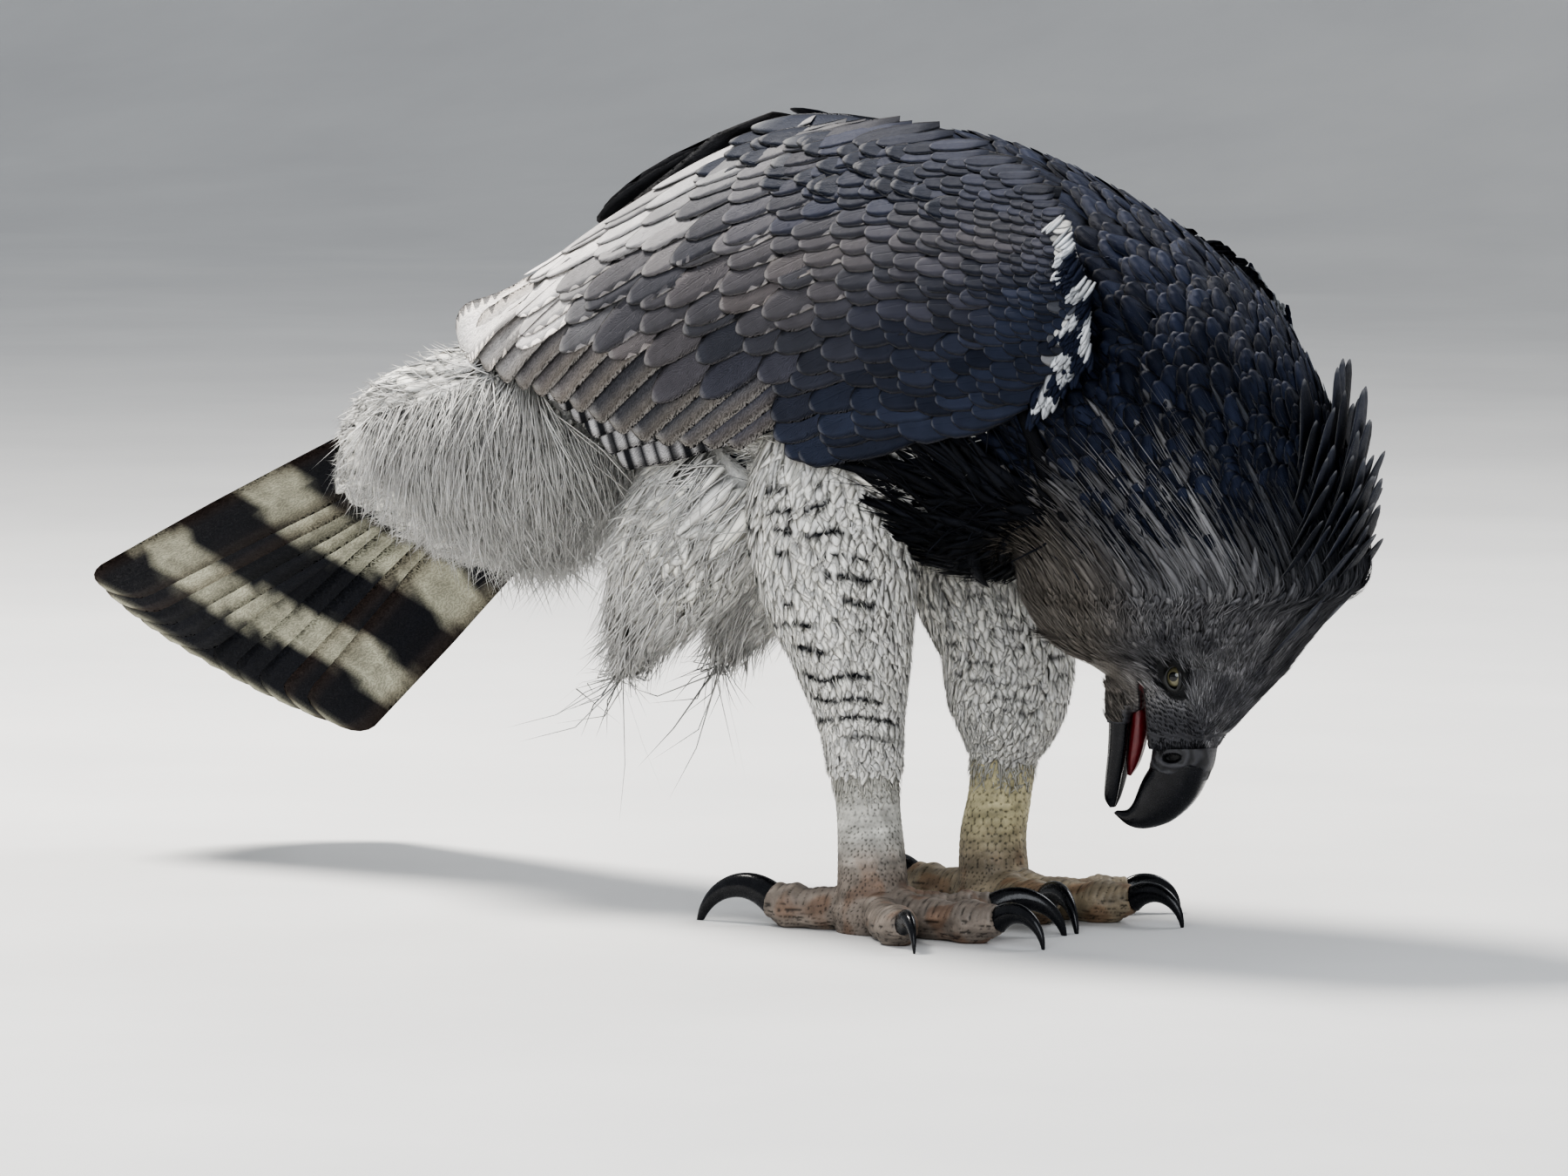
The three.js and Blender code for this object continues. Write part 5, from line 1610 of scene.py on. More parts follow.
@dataclass(frozen=True)
class HeadCoat:
    """Grey feathers of the head, the ruff round its back and the crest."""

    surface: BodySurface = BodySurface()

    # root forward and up, tip forward and up, half spread to each side, plumes
    CREST = ((-86, 74, -176, 84, 30, 5), (-72, 74, -160, 92, 36, 7), (-58, 72, -142, 96, 40, 7),
             (-48, 70, -126, 100, 40, 8), (-38, 66, -112, 101, 40, 8), (-29, 62, -97, 102, 30, 7),
             (-20, 58, -84, 102, 22, 5), (-8, 53, -58, 88, 18, 6))

    def cap(self) -> list[Vanes]:
        """Soft feathers behind the face that grow longer towards the neck."""
        low = Tract(self.surface, (9.8, 7.4), (0.0, 1.0), (3.2, 4.6), (16, 28), (3.6, 5.4),
                    root_high=-1.5, tip_high=1.4, lean=0.15, seed=111)
        fine = Tract(self.surface, (10.1, 7.2), (0.0, 1.0), (2.1, 2.9), (14, 28), (1.1, 1.7), WISP,
                     root_high=-0.5, tip_high=(1.6, 2.8), loose=0.01, lean=0.0, seed=112, untidy=0.09)
        return [self.grey(low.grow(self.thinned)[0], 0.75), self.grey(fine.grow(self.thinned)[0], 1.0)]

    @staticmethod
    def thinned(a: Array, b: Array, points: Array) -> Array:
        """Fewer and fewer roots towards the face, whose own feathers take over."""
        return np.random.default_rng(113).random(len(a)) < ease(10.1, 8.7, a)

    @staticmethod
    def grey(vanes: Vanes, tone: float) -> Vanes:
        """Colours grey in streaks, buff below, darker behind the eyes and on the nape."""
        base = head_hue(vanes.roots)
        return shade(vanes, base * tone * vanes.tones(0.85, 0.3), fringe=base * 1.2, fringe_share=0.4,
                     root=0.75, rim=0.05)

    def face(self, points: Array, normals: Array) -> Vanes:
        """Hair-like feathers that cover the face, and dark bristles on the lores.

        Formula: each grows from a point of the skin, back along it and away from the bill's line.
        """
        draw = np.random.default_rng(119)
        forward, up, left = head_places(points)
        mouth = (forward > 0) & (up < -19.5) & (up > -23.5 - 0.25 * (forward - 2)) | (
            (forward > 19) & (up < -21) & (normals @ TO_CROWN > 0.5) & (np.abs(left) < 14))
        eye = (np.hypot(forward * 0.85, up) < 8.8) & (np.abs(left) > 18)
        lores = (forward > 9) & (up < 5 + 0.17 * forward) & (up > -20) & (np.abs(left) > 6)
        blunt = (up < -26) & (normals @ TO_BILL > 0.5)
        keep = ~mouth & ~eye & ~blunt & (forward < 42.3) & (
            draw.random(len(points)) < np.where(lores, 0.4, 0.7))
        points, normals, forward, up, lores = (
            values[keep] for values in (points, normals, forward, up, lores))
        forehead = ease(32, 37, forward)
        aim = -TO_BILL - TO_CROWN * np.clip(0.016 * (12 - up), 0, 0.4)[:, None]
        aim = mixed(aim, TO_BILL, 2 * forehead)
        aim = aim + unit(np.cross(normals, aim)) * draw.normal(0, 0.13, (len(points), 1))
        length = np.where(lores, 3.4 + 2 * forehead, blend(14.0, 6.5, ease(-20, 35, forward)))
        vanes = hairs(points, normals, aim, length * draw.uniform(0.7, 1.3, len(points)),
                      np.where(lores, 0.3, 0.55), np.where(lores, 0.17, 0.16), draw)
        self.grey(vanes, 1.15)
        vanes.colours = vanes.colours * draw.uniform(0.6, 1.35, (vanes.count, 1, 1))
        speck = np.where(draw.random(vanes.count) < 0.25, 2.4, 0.6)[:, None, None]
        forward, up, _ = head_places(vanes.roots)
        dark = (lores | (np.hypot(forward, up) < 11))[:, None, None]
        vanes.colours = np.where(dark, HUE.grey * 0.5 * speck, vanes.colours)
        jaw = ease(14, 34, forward) * ease(-20, -32, up)
        vanes.colours = vanes.colours * (1 - 0.6 * jaw)[:, None, None]
        return vanes

    def ruff(self) -> list[Vanes]:
        """Grey feathers with darker tips that frame the head."""
        round_back = (0.272, 1.228)
        tract = Tract(self.surface, (8.3, 7.45), round_back, (4.4, 5.0), (26, 36), (5.0, 6.4),
                      root_high=-1.5, tip_high=3.2, lean=0.2, loose=0.01, seed=115)
        fine = Tract(self.surface, (8.4, 7.2), round_back, (2.7, 3.0), (26, 36), (1.2, 1.5), WISP,
                     root_high=0.0, tip_high=4.5, loose=0.03, lean=0.0, seed=116)
        return [self.grey(tract.grow()[0], 0.7), self.grey(fine.grow()[0], 0.95)]

    def crest(self) -> Vanes:
        """Raised plumes of the crown and nape.

        Formula: each plume runs from a root on the crown to a tip above and behind it, both lower to
        the sides by 0.009 of the square of their distance left, and sags a little between them.
        """
        draw = np.random.default_rng(117)
        starts, ends = [], []
        for r0, r1, t0, t1, spread, count in self.CREST:
            left = np.linspace(-spread, spread, count) + draw.normal(0, 1.5, count)
            drop = 0.009 * left ** 2
            starts.append(on_head(r0, r1 - drop - 3, left))
            ends.append(on_head(t0 + 1.2 * drop + 6 * draw.random(count),
                                t1 - 1.1 * drop + 3 * draw.normal(size=count), 1.3 * left))
        start, end = np.concatenate(starts)[:, None], np.concatenate(ends)[:, None]
        u = np.append(COVERT.steps, 1.0)
        sag = 5.0 * np.sin(math.pi * u) * draw.uniform(0.2, 1.2, (len(start), 1))
        shaft = blend(start, end, u[None, :, None]) + TO_CROWN * sag[..., None]
        ahead = unit(np.gradient(shaft, axis=1))
        side = unit(TO_LEFT - ahead * (ahead @ TO_LEFT)[..., None])
        out = unit(np.cross(ahead, side))
        out = out * np.sign(np.sum(out * TO_CROWN, axis=-1, keepdims=True))
        half = draw.uniform(12, 17, len(start))
        flat = np.stack([draw.uniform(0.1, 0.9, len(start))] * 2, axis=-1)
        vanes = build_vanes(shaft, unit(np.cross(out, ahead)), out, half, COVERT, flat, draw)
        return shade(vanes, HUE.crest * vanes.tones(0.6, 0.8), tip=HUE.slate * 1.6, turn=0.93, root=0.5,
                     rim=0.3)


def hairs(points: Array, normals: Array, aim: Array, length: Array, half: Array, lift: Array,
          draw: Draw) -> Vanes:
    """Fine feathers that start at points of a mesh and lie along it.

    Args:
        points: roots, N by 3.
        normals: out of the skin.
        aim: which way they lie.
        length: of each, in millimetres.
        half: half width of each.
        lift: how far the tip rises for each millimetre of length.
        draw: the seeded draw.

    Returns:
        The vanes.
    """
    u = np.append(WISP.steps, 1.0)[None, :, None]
    along = unit(aim - normals * np.sum(aim * normals, axis=1, keepdims=True))
    reach = length[:, None, None] * u
    shaft = points[:, None] + along[:, None] * reach + normals[:, None] * (reach * lift[:, None, None] - 0.3)
    side, out = (np.broadcast_to(way[:, None], shaft.shape) for way in (np.cross(normals, along), normals))
    forward, up, left = head_places(points)
    flat = np.stack([0.5 + left / 140.0, 0.5 + up / 200.0 + forward / 400.0], axis=-1)
    return build_vanes(shaft, side, out, half, WISP, np.clip(flat, 0.01, 0.99), draw)


def tube(line: Array, radii: Array, around: int, wide: float = 1.0, high: float = 1.0,
         side: Array = np.array([0.0, 1.0, 0.0])) -> Form:
    """A closed tube along a line, elliptical if wide and high differ.

    Args:
        line: R by 3 places.
        radii: radius at each.
        around: points round it.
        wide: scale across.
        high: scale up.
        side: direction across.

    Returns:
        The tube.
    """
    ahead = unit(np.gradient(line, axis=0))
    across = unit(side - ahead * np.sum(side * ahead, axis=1, keepdims=True))
    up = np.cross(ahead, across)
    turn = circle(around)[:, None]
    ring = across[:, None] * np.cos(turn) * wide + up[:, None] * np.sin(turn) * high
    return closed_grid(line[:, None] + ring * np.asarray(radii)[:, None, None])


def sweep(line: Array, radii: Array, steps: int) -> tuple[Array, Array]:
    """A smooth line and its radii from few points."""
    place = np.linspace(0, len(line) - 1, steps)
    return smooth_row(np.array(line, float), place), smooth_row(np.array(radii, float), place)


@dataclass(frozen=True)
class Toe:
    """One toe with its claw."""

    name: str
    turn: float
    length: float
    radius: float
    claw: float
    claw_radius: float


TOES = (Toe("hind", 172, 58, 13, 66, 8.2), Toe("inner", -28, 62, 13, 54, 7.4),
        Toe("middle", 4, 86, 12.5, 44, 6.4), Toe("outer", 40, 70, 11.5, 38, 5.8))


@dataclass(frozen=True)
class Foot:
    """Scaly skin of one leg and foot, and its claws."""

    leg: Leg

    # how far each claw curves, and how far its root points up
    CLAW_SWEEP = math.radians(128)
    CLAW_TILT = math.radians(38)

    def ahead(self, toe: Toe) -> Array:
        """Direction of a toe over the floor."""
        turn = math.radians(toe.turn)
        return np.array([math.cos(turn), self.leg.side.value * abs(math.sin(turn)) * np.sign(toe.turn), 0.0])

    def toe_line(self, toe: Toe) -> tuple[Array, list[float]]:
        """Points and radii of a toe's middle."""
        r = toe.radius
        spots = np.array(((0, 18), (0.3, r), (0.58, 0.9 * r), (0.8, r - 0.4), (1, r + 3)))
        line = self.leg.foot * (1, 1, 0) + self.ahead(toe) * (6 + toe.length * spots[:, :1])
        line[:, 2] += spots[:, 1]
        return line, [r, 0.95 * r, 0.9 * r, r, 0.4 + 1.12 * toe.claw_radius]

    def palm(self) -> Form:
        """The pad where the toes meet."""
        level = np.array([-0.3, 0.1, 0.5, 0.8, 0.96])[:, None]
        share = np.array([0.86, 1, 0.86, 0.55, 0.2])[:, None]
        turn = circle(24)
        x = self.leg.foot[0] + 2 + 26 * share * np.cos(turn)
        y = self.leg.foot[1] + 22 * share * np.sin(turn)
        z = 12 + 17 * np.where(level < 0, level * 2.6, level)
        return closed_grid(np.stack(np.broadcast_arrays(x, y, z), axis=-1))

    def skin(self, finish: Material) -> None:
        """Tarsus, palm and toes as one surface, raised into scales and coloured.

        Formula: the surface rises by a rounded height inside each scale and sinks between them.
        """
        forms, lines = [loft(self.leg.tarsus(), 0.0, 3.0, 22, 26), self.palm()], []
        for toe in TOES:
            line, radii = sweep(*self.toe_line(toe), 26)
            lines.append((toe, line))
            knuckle = 1 + 0.05 * np.sin(np.linspace(0, 3.2, 26) * TAU)
            forms.append(tube(line, radii * knuckle, 22))
        points, blocks = fused("foot", forms, 1.05)
        points = relaxed(points, blocks, 3)
        normals = point_normals(points, blocks)
        height, shadow = self.scales(points, normals, lines)
        points = points + normals * height[:, None]
        points[:, 2] = np.maximum(points[:, 2], SOLE)
        near = self.leg.side is Side.RIGHT
        tarsus = np.array((0.50, 0.49, 0.45) if near else (0.50, 0.45, 0.28))
        toes = np.array((0.23, 0.195, 0.165) if near else (0.27, 0.225, 0.16))
        base = mixed(toes, tarsus, ease(30, 62, points[:, 2]))
        rust = ease(0.1, 0.7, patches(points, 22, 12)) * ease(60, 20, points[:, 2])
        base = mixed(base, np.array((0.20, 0.10, 0.05)), 0.5 * rust)
        tint = base * (blend(0.2, 1.0, shadow) * (0.9 + 0.2 * patches(points, 9, 14)))[:, None]
        word = self.leg.side.word
        new_piece(f"leg_skin_{word}", (points, blocks), finish,
                  (f"tarsus_{word}", f"foot_{word}", *[f"toe_{toe.name}_{word}" for toe in TOES]),
                  {"tint": with_alpha(tint)},
                  np.stack([0.4 + points[:, 0] / 400, 0.05 + points[:, 2] / 130], axis=-1))

    def scales(self, points: Array, normals: Array, lines: list) -> tuple[Array, Array]:
        """Height of the scales in millimetres, and how far each point is out of a groove.

        Formula: across the top of each toe run plates 4.6 mm long, and round scales elsewhere.
        """
        gaps = np.array([np.linalg.norm(points[:, None] - line, axis=2).min(axis=1) for _, line in lines])
        runs = np.array([(points - line[0]) @ self.ahead(toe) for toe, line in lines])
        run = runs[gaps.argmin(axis=0), np.arange(len(points))]
        is_plate = (points[:, 2] < 30) & (run > 12) & (normals[:, 2] > 0.25)
        plates = np.abs(np.sin((run / 4.6 + 0.105 * patches(points, 16, 21)) * math.pi)) ** 0.5
        hexes = hex_rise(points, self.leg.side, 5.2 if self.leg.side is Side.LEFT else 3.8)
        rise = np.where(points[:, 2] > 30, hexes, hex_rise(points, self.leg.side, 2.6))
        rise = np.where(is_plate, plates, rise)
        return np.where(is_plate, 0.9, 0.7) * (rise - 0.55), ease(0.05, 0.55, rise)

    def claws(self, finish: Material) -> None:
        """Curved claws that end on the floor.

        Formula: each follows an arc of a circle and thins to its tip by the power 1.25 of the way.
        """
        share = np.linspace(-0.06, 1, 34)
        angle = self.CLAW_SWEEP * share - self.CLAW_TILT
        for toe in TOES:
            start, ahead = self.toe_line(toe)[0][-1], self.ahead(toe)
            bend = toe.claw / self.CLAW_SWEEP
            path = start + ahead * (0.35 + bend * (np.sin(angle) + math.sin(self.CLAW_TILT)))[:, None]
            path[:, 2] = start[2] + bend * (np.cos(angle) - math.cos(self.CLAW_TILT))
            radius = blend(toe.claw_radius, 0.7, np.clip(share, 0, 1) ** 1.25)
            across = np.cross(np.array([0, 0, 1.0]), ahead)
            points, blocks = tube(path, radius, 20, wide=0.82, high=1.1, side=across)
            points[:, 2] = np.maximum(points[:, 2], SOLE)
            name = f"claw_{toe.name}_{self.leg.side.word}"
            new_piece(f"{name}_horn", (points, blocks), finish, (name,))


def hex_rise(points: Array, side: Side, size: float) -> Array:
    """Height from 0 in the grooves to 1 inside rounded scales, over the unrolled leg.

    Formula: the leg's turn and height give a plane of six-sided cells, and the height falls with the
    distance from the nearest cell's middle.
    """
    foot = Leg(side).foot
    turn = np.arctan2(points[:, 1] - foot[1], points[:, 0] - foot[0])
    u = turn * 18.0 / size + 0.12 * patches(points, 11, 31)
    v = points[:, 2] / size / 0.87 + 0.12 * patches(points, 13, 33)
    gaps = [np.hypot(u - np.round(u - shift) - shift,
                     (v - np.round((v - shift * 2) / 2) * 2 - shift * 2) * 0.87) for shift in (0.0, 0.5)]
    return np.clip(1 - (np.minimum(*gaps) / 0.53) ** 5, 0, 1)


def point_normals(points: Array, blocks: list[Array]) -> Array:
    """Outward directions at points, from the faces round them."""
    total = np.zeros_like(points)
    for block in blocks:
        corner = points[block]
        face = np.cross(corner[:, 2] - corner[:, 0], corner[:, -1] - corner[:, 1])
        for k in range(block.shape[1]):
            for axis in range(3):
                total[:, axis] += np.bincount(block[:, k], weights=face[:, axis], minlength=len(points))
    return unit(total)


@dataclass(frozen=True)
class Bill:
    """Upper and lower bill, the bare skin at its root, and the tongue."""

    # top forward and up, edge forward and up, half width
    UPPER = ((42.4, 11.8, 42.4, -22, 16.8), (51, 10.2, 47, -22.6, 15.8), (60, 6.8, 53, -24.5, 14.4),
             (69, 2, 58, -27.5, 12.8), (77, -5.2, 63, -30, 11), (83.5, -14.5, 68, -32, 9),
             (87, -27, 73.5, -34.5, 6.6), (85.5, -37, 77, -38, 3.8), (79, -45.5, 77.6, -43.5, 0.9))
    LOWER = ((20.4, -29.4, 20.4, -47.6, 13.8), (32, -31.5, 32, -47.4, 12.8), (45, -33.8, 46, -48.2, 11.2),
             (58, -36.8, 60, -49.8, 8.8), (69, -40, 70.5, -50.4, 5.8), (75.6, -43.8, 76, -47.6, 2))

    def rings(self, rows: tuple, start: float, stop: float, steps: int, around: int, grow: float,
              square: float, is_trough: bool = False) -> Array:
        """Rings between the ridge and the cutting edge.

        Formula: each ring is a squared ellipse about the middle of its two points, hollowed above for
        the trough of the lower bill.

        Args:
            rows: UPPER or LOWER.
            start: first row, which may be a fraction.
            stop: last row.
            steps: rings.
            around: points of each.
            grow: how far outside the bill's own surface.
            square: below 1 for fuller corners.
            is_trough: whether the top is hollow.

        Returns:
            Places, steps by around by 3.
        """
        row = smooth_row(np.array(rows, float), np.linspace(start, stop, steps))
        c, height = (signed_power(wave(circle(around)), square) for wave in (np.cos, np.sin))
        top, edge = row[:, None, 0:2], row[:, None, 2:4]
        middle, rise = (top + edge) / 2, (top - edge) / 2
        high = np.linalg.norm(rise, axis=-1, keepdims=True)
        if is_trough:
            height = height - np.clip(height, 0, 1) * (1 - np.abs(c)) * 0.75
        flat = middle + rise / high * (high + grow) * height[:, None]
        return on_head(flat[..., 0], flat[..., 1], (row[:, None, 4] + grow) * c)

    def build(self, horn: Material, cere: Material, mouth: Material) -> None:
        """Makes the bill's pieces."""
        new_piece("bill_upper_horn", closed_grid(self.rings(self.UPPER, 1.05, 8.0, 72, 52, 0.0, 0.85)), horn,
                  ("bill_upper",))
        self.cere(cere)
        new_piece("bill_lower_horn", closed_grid(self.rings(self.LOWER, 0.0, 5.0, 40, 44, 0.0, 0.9, True)),
                  horn, ("bill_lower",))
        line = np.array([on_head(*spot) for spot in ((14, -30.2), (32, -30.8), (48, -33.6), (58, -35.8))])
        path, radii = sweep(line, [7.2, 7.2, 5.6, 1.4], 30)
        points, blocks = tube(path, radii, 24, high=0.7, side=TO_LEFT)
        left = head_places(points)[2]
        points = points - TO_CROWN * (0.9 * np.exp(-(left / 1.3) ** 2))[:, None]
        new_piece("tongue_flesh", (points, blocks), mouth, ("tongue",))

    def cere(self, finish: Material) -> None:
        """Makes the bare skin at the root of the upper bill, with a nostril and folds round it.

        Formula: the sides sink by a steep step in the nostril, by waves round it and at the front edge.
        """
        points, blocks = closed_grid(self.rings(self.UPPER, -0.4, 1.9, 70, 120, 0.5, 0.85))
        forward, up, left = head_places(points)
        hole = np.hypot(forward - 46.0, (up + 8.0 + 0.3 * (forward - 46)) * 0.5)
        dent = ease(3.0, 2.0, hole) * (np.abs(left) > 6)
        ring = np.hypot(forward - 44.5, (up + 8) * 0.7)
        folds = np.sin(ring * 1.7 + 1.3 * patches(points, 9, 41)) * 0.26 * ease(2.5, 4.5, ring)
        edge = 54.0 - 3.0 * np.cos((up - 2) * 0.22) - forward + 0.8 * patches(points, 7, 43)
        fade = ease(0.0, 1.6, edge)
        sink = 4.6 * dent + folds * fade + 1.3 * (1 - fade)
        points = points - TO_LEFT * (np.sign(left) * sink)[:, None]
        # Painted shade: near black in the nostril's hollow, and darker where the folds sink.
        tone = (1 - 0.95 * dent) * (1 - 2.2 * np.clip(folds, -0.2, 0.2))
        tint = np.array((0.034, 0.034, 0.038)) * tone[:, None]
        new_piece("cere", (points, blocks), finish, (), {"tint": with_alpha(tint)})


def ball(middle: Array, radius: float, axis: Array, up: Array, rows: int, columns: int,
         pole: float) -> Array:
    """Rings of a ball about an axis.

    Args:
        middle: of the ball.
        radius: in millimetres.
        axis: from which the rings start.
        up: where each ring starts.
        rows: rings.
        columns: points of each.
        pole: how far from the axis the first ring is, in radians.

    Returns:
        Places, rows by columns by 3.
    """
    polar, turn = np.linspace(pole, math.pi - pole, rows)[:, None, None], circle(columns)[:, None]
    ring = up * np.cos(turn) + np.cross(axis, up) * np.sin(turn)
    return middle + radius * (axis * np.cos(polar) + ring * np.sin(polar))


@dataclass(frozen=True)
class Eyes:
    """Both eyes, with a dark rim of skin round each, that the brow's hood presses flat above."""

    HOOD = 0.66
    RIM_RADIUS = 11.6

    def build(self, finish: Material, rim_finish: Material) -> None:
        """Makes each eye as a ball whose attribute tells the distance from its axis."""
        rows, columns = 40, 48
        polar = np.linspace(0.02, math.pi - 0.02, rows)
        away = np.append(np.repeat(np.where(polar < 1.57, np.sin(polar), 1.0), columns), [0, 1])
        around = np.append(np.tile(np.arange(columns) / columns, rows), [0, 0])
        values = np.stack([away, np.minimum(around, 1 - around) * 2, np.zeros_like(away)], axis=-1)
        bulge = 1.0 + 0.07 * np.exp(-(polar / 0.5) ** 2)
        for side in Side:
            s = side.value
            middle = on_head(0, 0, s * EYE_APART)
            axis = unit(s * TO_LEFT - 0.06 * TO_BILL - 0.12 * TO_CROWN)
            up = unit(TO_CROWN - axis * (axis @ TO_CROWN))
            rings = ball(middle, EYE_RADIUS, axis, up, rows, columns, 0.02)
            rings = rings + (EYE_RADIUS * np.cos(polar) * (bulge - 1))[:, None, None] * axis
            new_piece(f"eye_ball_{side.word}", closed_grid(rings), finish, (f"eye_{side.word}",),
                      {"vane": values})
            t = circle(72)
            f, u = 6.9 * np.cos(t), 5.4 * np.sin(t) * np.where(np.sin(t) > 0, self.HOOD, 1.0) - 0.3
            self.rim(on_head(f, u, s * (EYE_APART + np.sqrt(self.RIM_RADIUS ** 2 - f * f - u * u))),
                     side, middle, rim_finish)

    @staticmethod
    def rim(ring: Array, side: Side, middle: Array, finish: Material) -> None:
        """A closed band of skin along the edge of the lids, an ellipse carried round it."""
        out = unit(ring - middle)
        across = np.cross(unit(np.roll(ring, -1, axis=0) - np.roll(ring, 1, axis=0)), out)
        turn = circle(10)[:, None]
        band = ring[:, None] + 1.15 * (across[:, None] * np.cos(turn) + 0.7 * out[:, None] * np.sin(turn))
        quads = grid_faces(len(ring) + 1, 10) % (len(ring) * 10)
        points = band.reshape(-1, 3)
        new_piece(f"lid_rim_{side.word}", (points, [quads]), finish, (),
                  {"tint": with_alpha(np.full_like(points, 0.018))})


@dataclass(frozen=True)
class Face:
    """Bare and short-feathered skin of the head, with brows, lids and the inside of the mouth."""

    BROW = ((-30, 2.5), (-16, 6.0), (2, 7.5), (18, 5.8), (38, 2.0))

    def brow(self, side: Side) -> Form:
        """The shelf over an eye."""
        rows = smooth_row(np.array(self.BROW, float), np.linspace(0, 4, 22))
        f, high = rows[:, :1], rows[:, 1:]
        turn, ahead = circle(18), np.clip(rows[:, :1], 0, None) ** 2
        over = high * np.sin(turn) * np.where(np.sin(turn) > 0, 2.3, 1.0)
        left = side.value * (32.2 - 0.29 * f - 0.0035 * ahead - 0.36 * np.clip(over, 0, None))
        return closed_grid(on_head(f, 11.6 - 0.0055 * ahead + over, left + 0.85 * high * np.cos(turn)))

    def prism(self, corners: tuple) -> Form:
        """A flat outline in the head's middle plane, thickened to both sides."""
        forward, up = np.array(corners, float).T
        return closed_grid(np.stack([on_head(forward, up, left) for left in (-40, 40)]))

    def opening(self, side: Side) -> Form:
        """What is taken away in front of an eye between its lids."""
        turn = circle(28)
        high = 5.2 * np.sin(turn) * np.where(np.sin(turn) > 0, Eyes.HOOD, 1.0)
        return closed_grid(np.stack([
            on_head(6.6 * np.cos(turn) * wide, high * wide - 0.3, side.value * out)
            for out, wide in ((24, 0.9), (36, 1.0), (48, 1.25))]))

    def form(self) -> Form:
        """Joins the forms, and cuts the mouth and the lids open."""
        chin = np.array([on_head(*spot) for spot in ((-22, -33), (-4, -35), (14, -38.5), (30, -40.5))])
        path, radii = sweep(chin, [13, 12, 10.8, 8.8], 20)
        forms = [loft(BodySurface(-1.3), 8.9, 13.0, 34, 48), tube(path, radii, 28, wide=1.25, side=TO_LEFT)]
        cuts = [self.prism(((2, -21.5), (60, -22.4), (60, -36))),
                self.prism(((20, -25.5), (60, -24), (60, -70), (29, -70), (27, -42)))]
        for side in Side:
            eye, hole = (closed_grid(ball(
                on_head(0, 0, side.value * EYE_APART), radius, np.array([0.0, 0.0, 1.0]),
                np.array([1.0, 0.0, 0.0]), 20, 28, 0.06)) for radius in (11.8, 10.15))
            forms += [self.brow(side), eye]
            cuts += [hole, self.opening(side)]
        points, blocks = fused("face", forms, 0.95, cuts)
        forward, up, left = head_places(points)
        jaw = ease(4, 26, forward) * ease(-21, -26, up)
        points = points - TO_LEFT * (left * 0.42 * jaw)[:, None]
        sleeve = closed_grid(Bill().rings(Bill.LOWER, -0.5, 0.75, 16, 44, 1.0, 0.9, True))
        points, blocks = fused("face", [(points, blocks), sleeve], 0.95)
        return relaxed(points, blocks, 3), blocks

    def build(self, finish: Material) -> tuple[Array, Array]:
        """Makes the head's skin, folded in front by sines, and returns its points and normals."""
        points, blocks = self.form()
        forward, up, left = head_places(points)
        normals = point_normals(points, blocks)
        folds = np.sin(forward * 2.2 - up * 0.7 + 1.6 * patches(points, 8, 51)) * ease(6, 20, forward)
        points = points + normals * (0.14 * folds)[:, None]
        base = head_hue(points) * (0.55 + 0.3 * patches(points, 1.6, 53))[:, None]
        base = mixed(base, np.array((0.035, 0.035, 0.04)), ease(12, 26, forward))
        # Painted light and shade on the folds: lighter where they rise, darker where they sink.
        base = base * (1 + 0.25 * folds)[:, None]
        roof, bed = up + 21.5 + 0.0155 * (forward - 2), up + 21.5 + 0.25 * (forward - 2)
        gape = (forward > -1) & (roof < 2.0) & (bed > -2.0)
        wet = gape & (forward > 1) & (roof < 0.7) & (bed > -0.7) & (np.abs(normals @ TO_CROWN) > 0.3)
        socket = (np.hypot(forward * 0.8, up) < 10.5) & (np.abs(left) > 20)
        for is_there, hue in ((gape, (0.012, 0.011, 0.012)), (wet, (0.055, 0.006, 0.008)),
                              (socket, (0.008, 0.008, 0.009))):
            base = np.where(is_there[:, None], hue, base)
        new_piece("face_skin", (points, blocks), finish, ("head",),
                  {"tint": with_alpha(base)})
        return points, normals


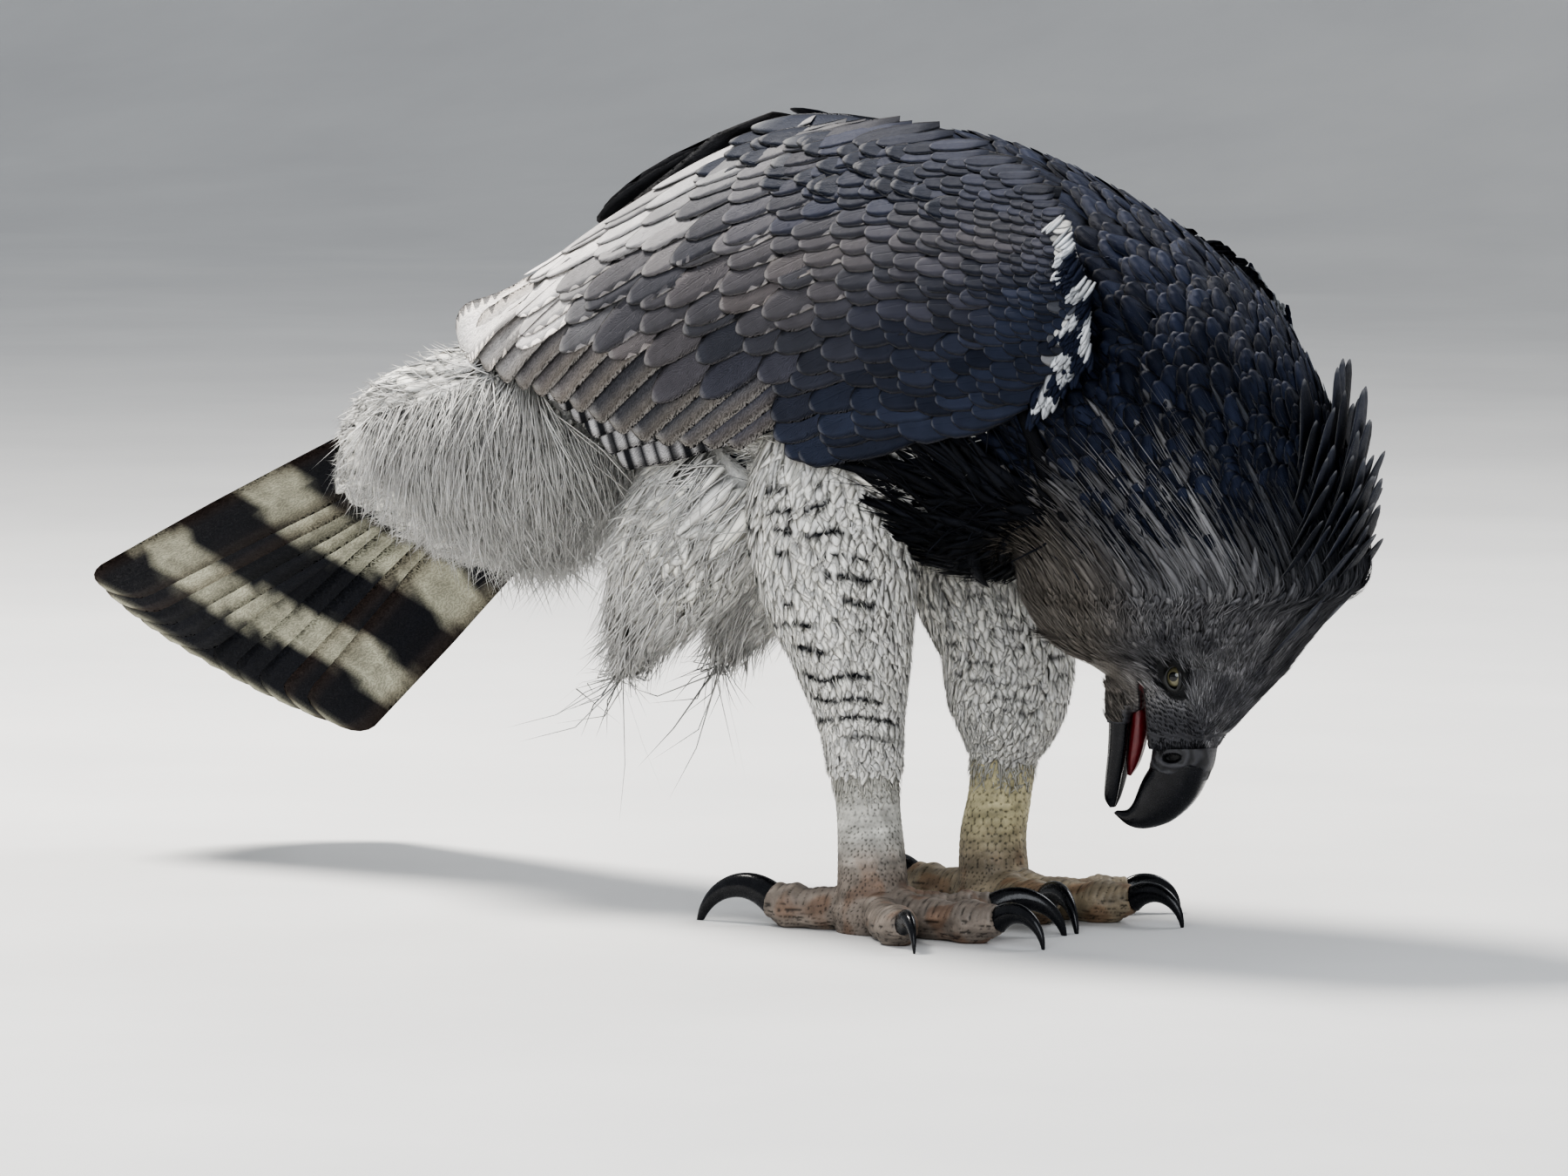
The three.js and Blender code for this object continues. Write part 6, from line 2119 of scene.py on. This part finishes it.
@dataclass(frozen=True)
class Studio:
    """Floor, soft lights and the photograph's camera."""

    azimuth: float = 38.0
    elevation: float = 5.0
    distance: float = 6.0
    lens: float = 245.0
    target: tuple = (-110.2, 0.0, 182.6)

    # name, place in metres, size, power and colour
    LIGHTS = (("key", (-1.5, 0.0, 2.9), 1.1, 106.0, (1.0, 0.96, 0.9)),
              ("fill", (1.8, -2.6, 1.3), 2.2, 30.0, (0.93, 0.96, 1.0)),
              ("back", (0.6, 2.4, 2.2), 1.6, 20.0, (0.97, 0.98, 1.0)))

    def build(self) -> None:
        """Makes the stage."""
        scene = bpy.context.scene
        az, el = math.radians(self.azimuth), math.radians(self.elevation)
        away = np.array([math.sin(az) * math.cos(el), -math.cos(az) * math.cos(el), math.sin(el)])
        aim = (np.array(self.target) + SHIFT) / 1000.0
        lens = bpy.data.cameras.new("camera")
        lens.lens, lens.sensor_width, lens.clip_end = self.lens, 36.0, 40.0
        scene.camera = self.put("camera", lens, aim + away * self.distance, -away)
        self.floor()
        for name, place, size, power, colour in self.LIGHTS:
            lamp = bpy.data.lights.new(name, "AREA")
            lamp.shape, lamp.size, lamp.energy, lamp.color = "DISK", size, power, colour
            self.put(name, lamp, place, np.array((0, 0, 0.24)) - place)
        world = bpy.data.worlds.new("studio")
        world.use_nodes = True
        sky = world.node_tree.nodes["Background"].inputs
        sky[0].default_value, sky[1].default_value = (0.86, 0.89, 0.93, 1), 0.36
        scene.world = world
        scene.view_settings.view_transform = "AgX"
        scene.view_settings.look = "AgX - High Contrast"
        scene.view_settings.exposure = 0.6

    @staticmethod
    def put(name: str, data: bpy.types.ID, place: Array, way: Array) -> Piece:
        """An object of the stage at a place, facing a way."""
        thing = bpy.data.objects.new(name, data)
        thing.location = Vector(place)
        thing.rotation_euler = Vector(way).to_track_quat("-Z", "Y").to_euler()
        bpy.context.scene.collection.objects.link(thing)
        return thing

    @staticmethod
    def floor() -> None:
        """A pale floor that curves up far behind."""
        mesh = bpy.data.meshes.new("floor")
        x = np.linspace(-9, 9, 3)
        y = np.concatenate([[-9, 5], 5 + 3 * np.sin(np.linspace(0.2, 1.57, 10)), [8]])
        z = np.concatenate([[0, 0], 3 * (1 - np.cos(np.linspace(0.2, 1.57, 10))), [9]])
        grid = np.stack([np.repeat(x[:, None], len(y), 1), np.repeat(y[None], 3, 0),
                         np.repeat(z[None], 3, 0)], axis=-1)
        mesh.from_pydata(grid.reshape(-1, 3).tolist(), [], grid_faces(3, len(y), False)[:, ::-1].tolist())
        graph = Graph("studio_floor")
        mottle = graph.ramp(graph.noise(3.0, 5.0), 0.3, 0.7, 0.0, 1.0)
        material = graph.shade(Base_Color=graph.mix(mottle, (0.60, 0.60, 0.60), (0.66, 0.66, 0.655)),
                               Roughness=0.75)
        mesh.materials.append(material)
        mesh.shade_smooth()
        thing = bpy.data.objects.new("floor", mesh)
        bpy.context.scene.collection.objects.link(thing)


def main() -> None:
    """Builds the bird and its stage in order."""
    logging.basicConfig(level=logging.INFO, format="%(message)s")
    Studio().build()
    feather = FeatherFinish("feather").make()
    down = FeatherFinish("down", roughness=0.85, barbs=30.0, contrast=0.05, shine=0.15).make()
    horn, bare = HornFinish().make(), BareFinish("bare_skin").make()
    rim, cere = BareFinish("rim_skin", 0.4).make(), BareFinish("cere_skin", 0.42).make()
    coat, body, head, fan = Coat(), BodyCoat(), HeadCoat(), TailFan()
    coat.lay("back_feathers", body.back(), feather, "feathers_slate")
    coat.lay("neck_feathers", body.neck(), feather, "feathers_black")
    coat.lay("bib_feathers", body.bib(), feather, "feathers_black")
    coat.lay("belly_feathers", [body.belly()], down, "feathers_white")
    coat.lay("belly_down", [body.down()], down, "feathers_white")
    coat.lay("head_feathers", [*head.cap(), *head.ruff()], down, "feathers_grey")
    coat.lay("crest", [head.crest()], feather, "feathers_slate")
    coat.lay("face_feathers", [head.face(*Face().build(cere))], down, "feathers_grey")
    for side in Side:
        LegCoat(Leg(side)).build(coat, down)
        WingCoat(side).build(coat, feather)
    coat.lay("tail_coverts", fan.coverts(), feather, "feathers_tail")
    coat.lay("tail_fluff", fan.fluff(), down, "feathers_white")
    coat.lay("tail_quills", [fan.quills()], feather, "feathers_tail", ("tail",), is_strip=True)
    Skin().build(coat, SkinFinish().make())
    Bill().build(horn, cere, WetFinish().make())
    Eyes().build(EyeFinish().make(), rim)
    for foot in map(Foot, map(Leg, Side)):
        foot.skin(bare)
        foot.claws(horn)
    LOG.info("coat triangles: %d", coat.triangles)


if __name__ == "__main__":
    main()
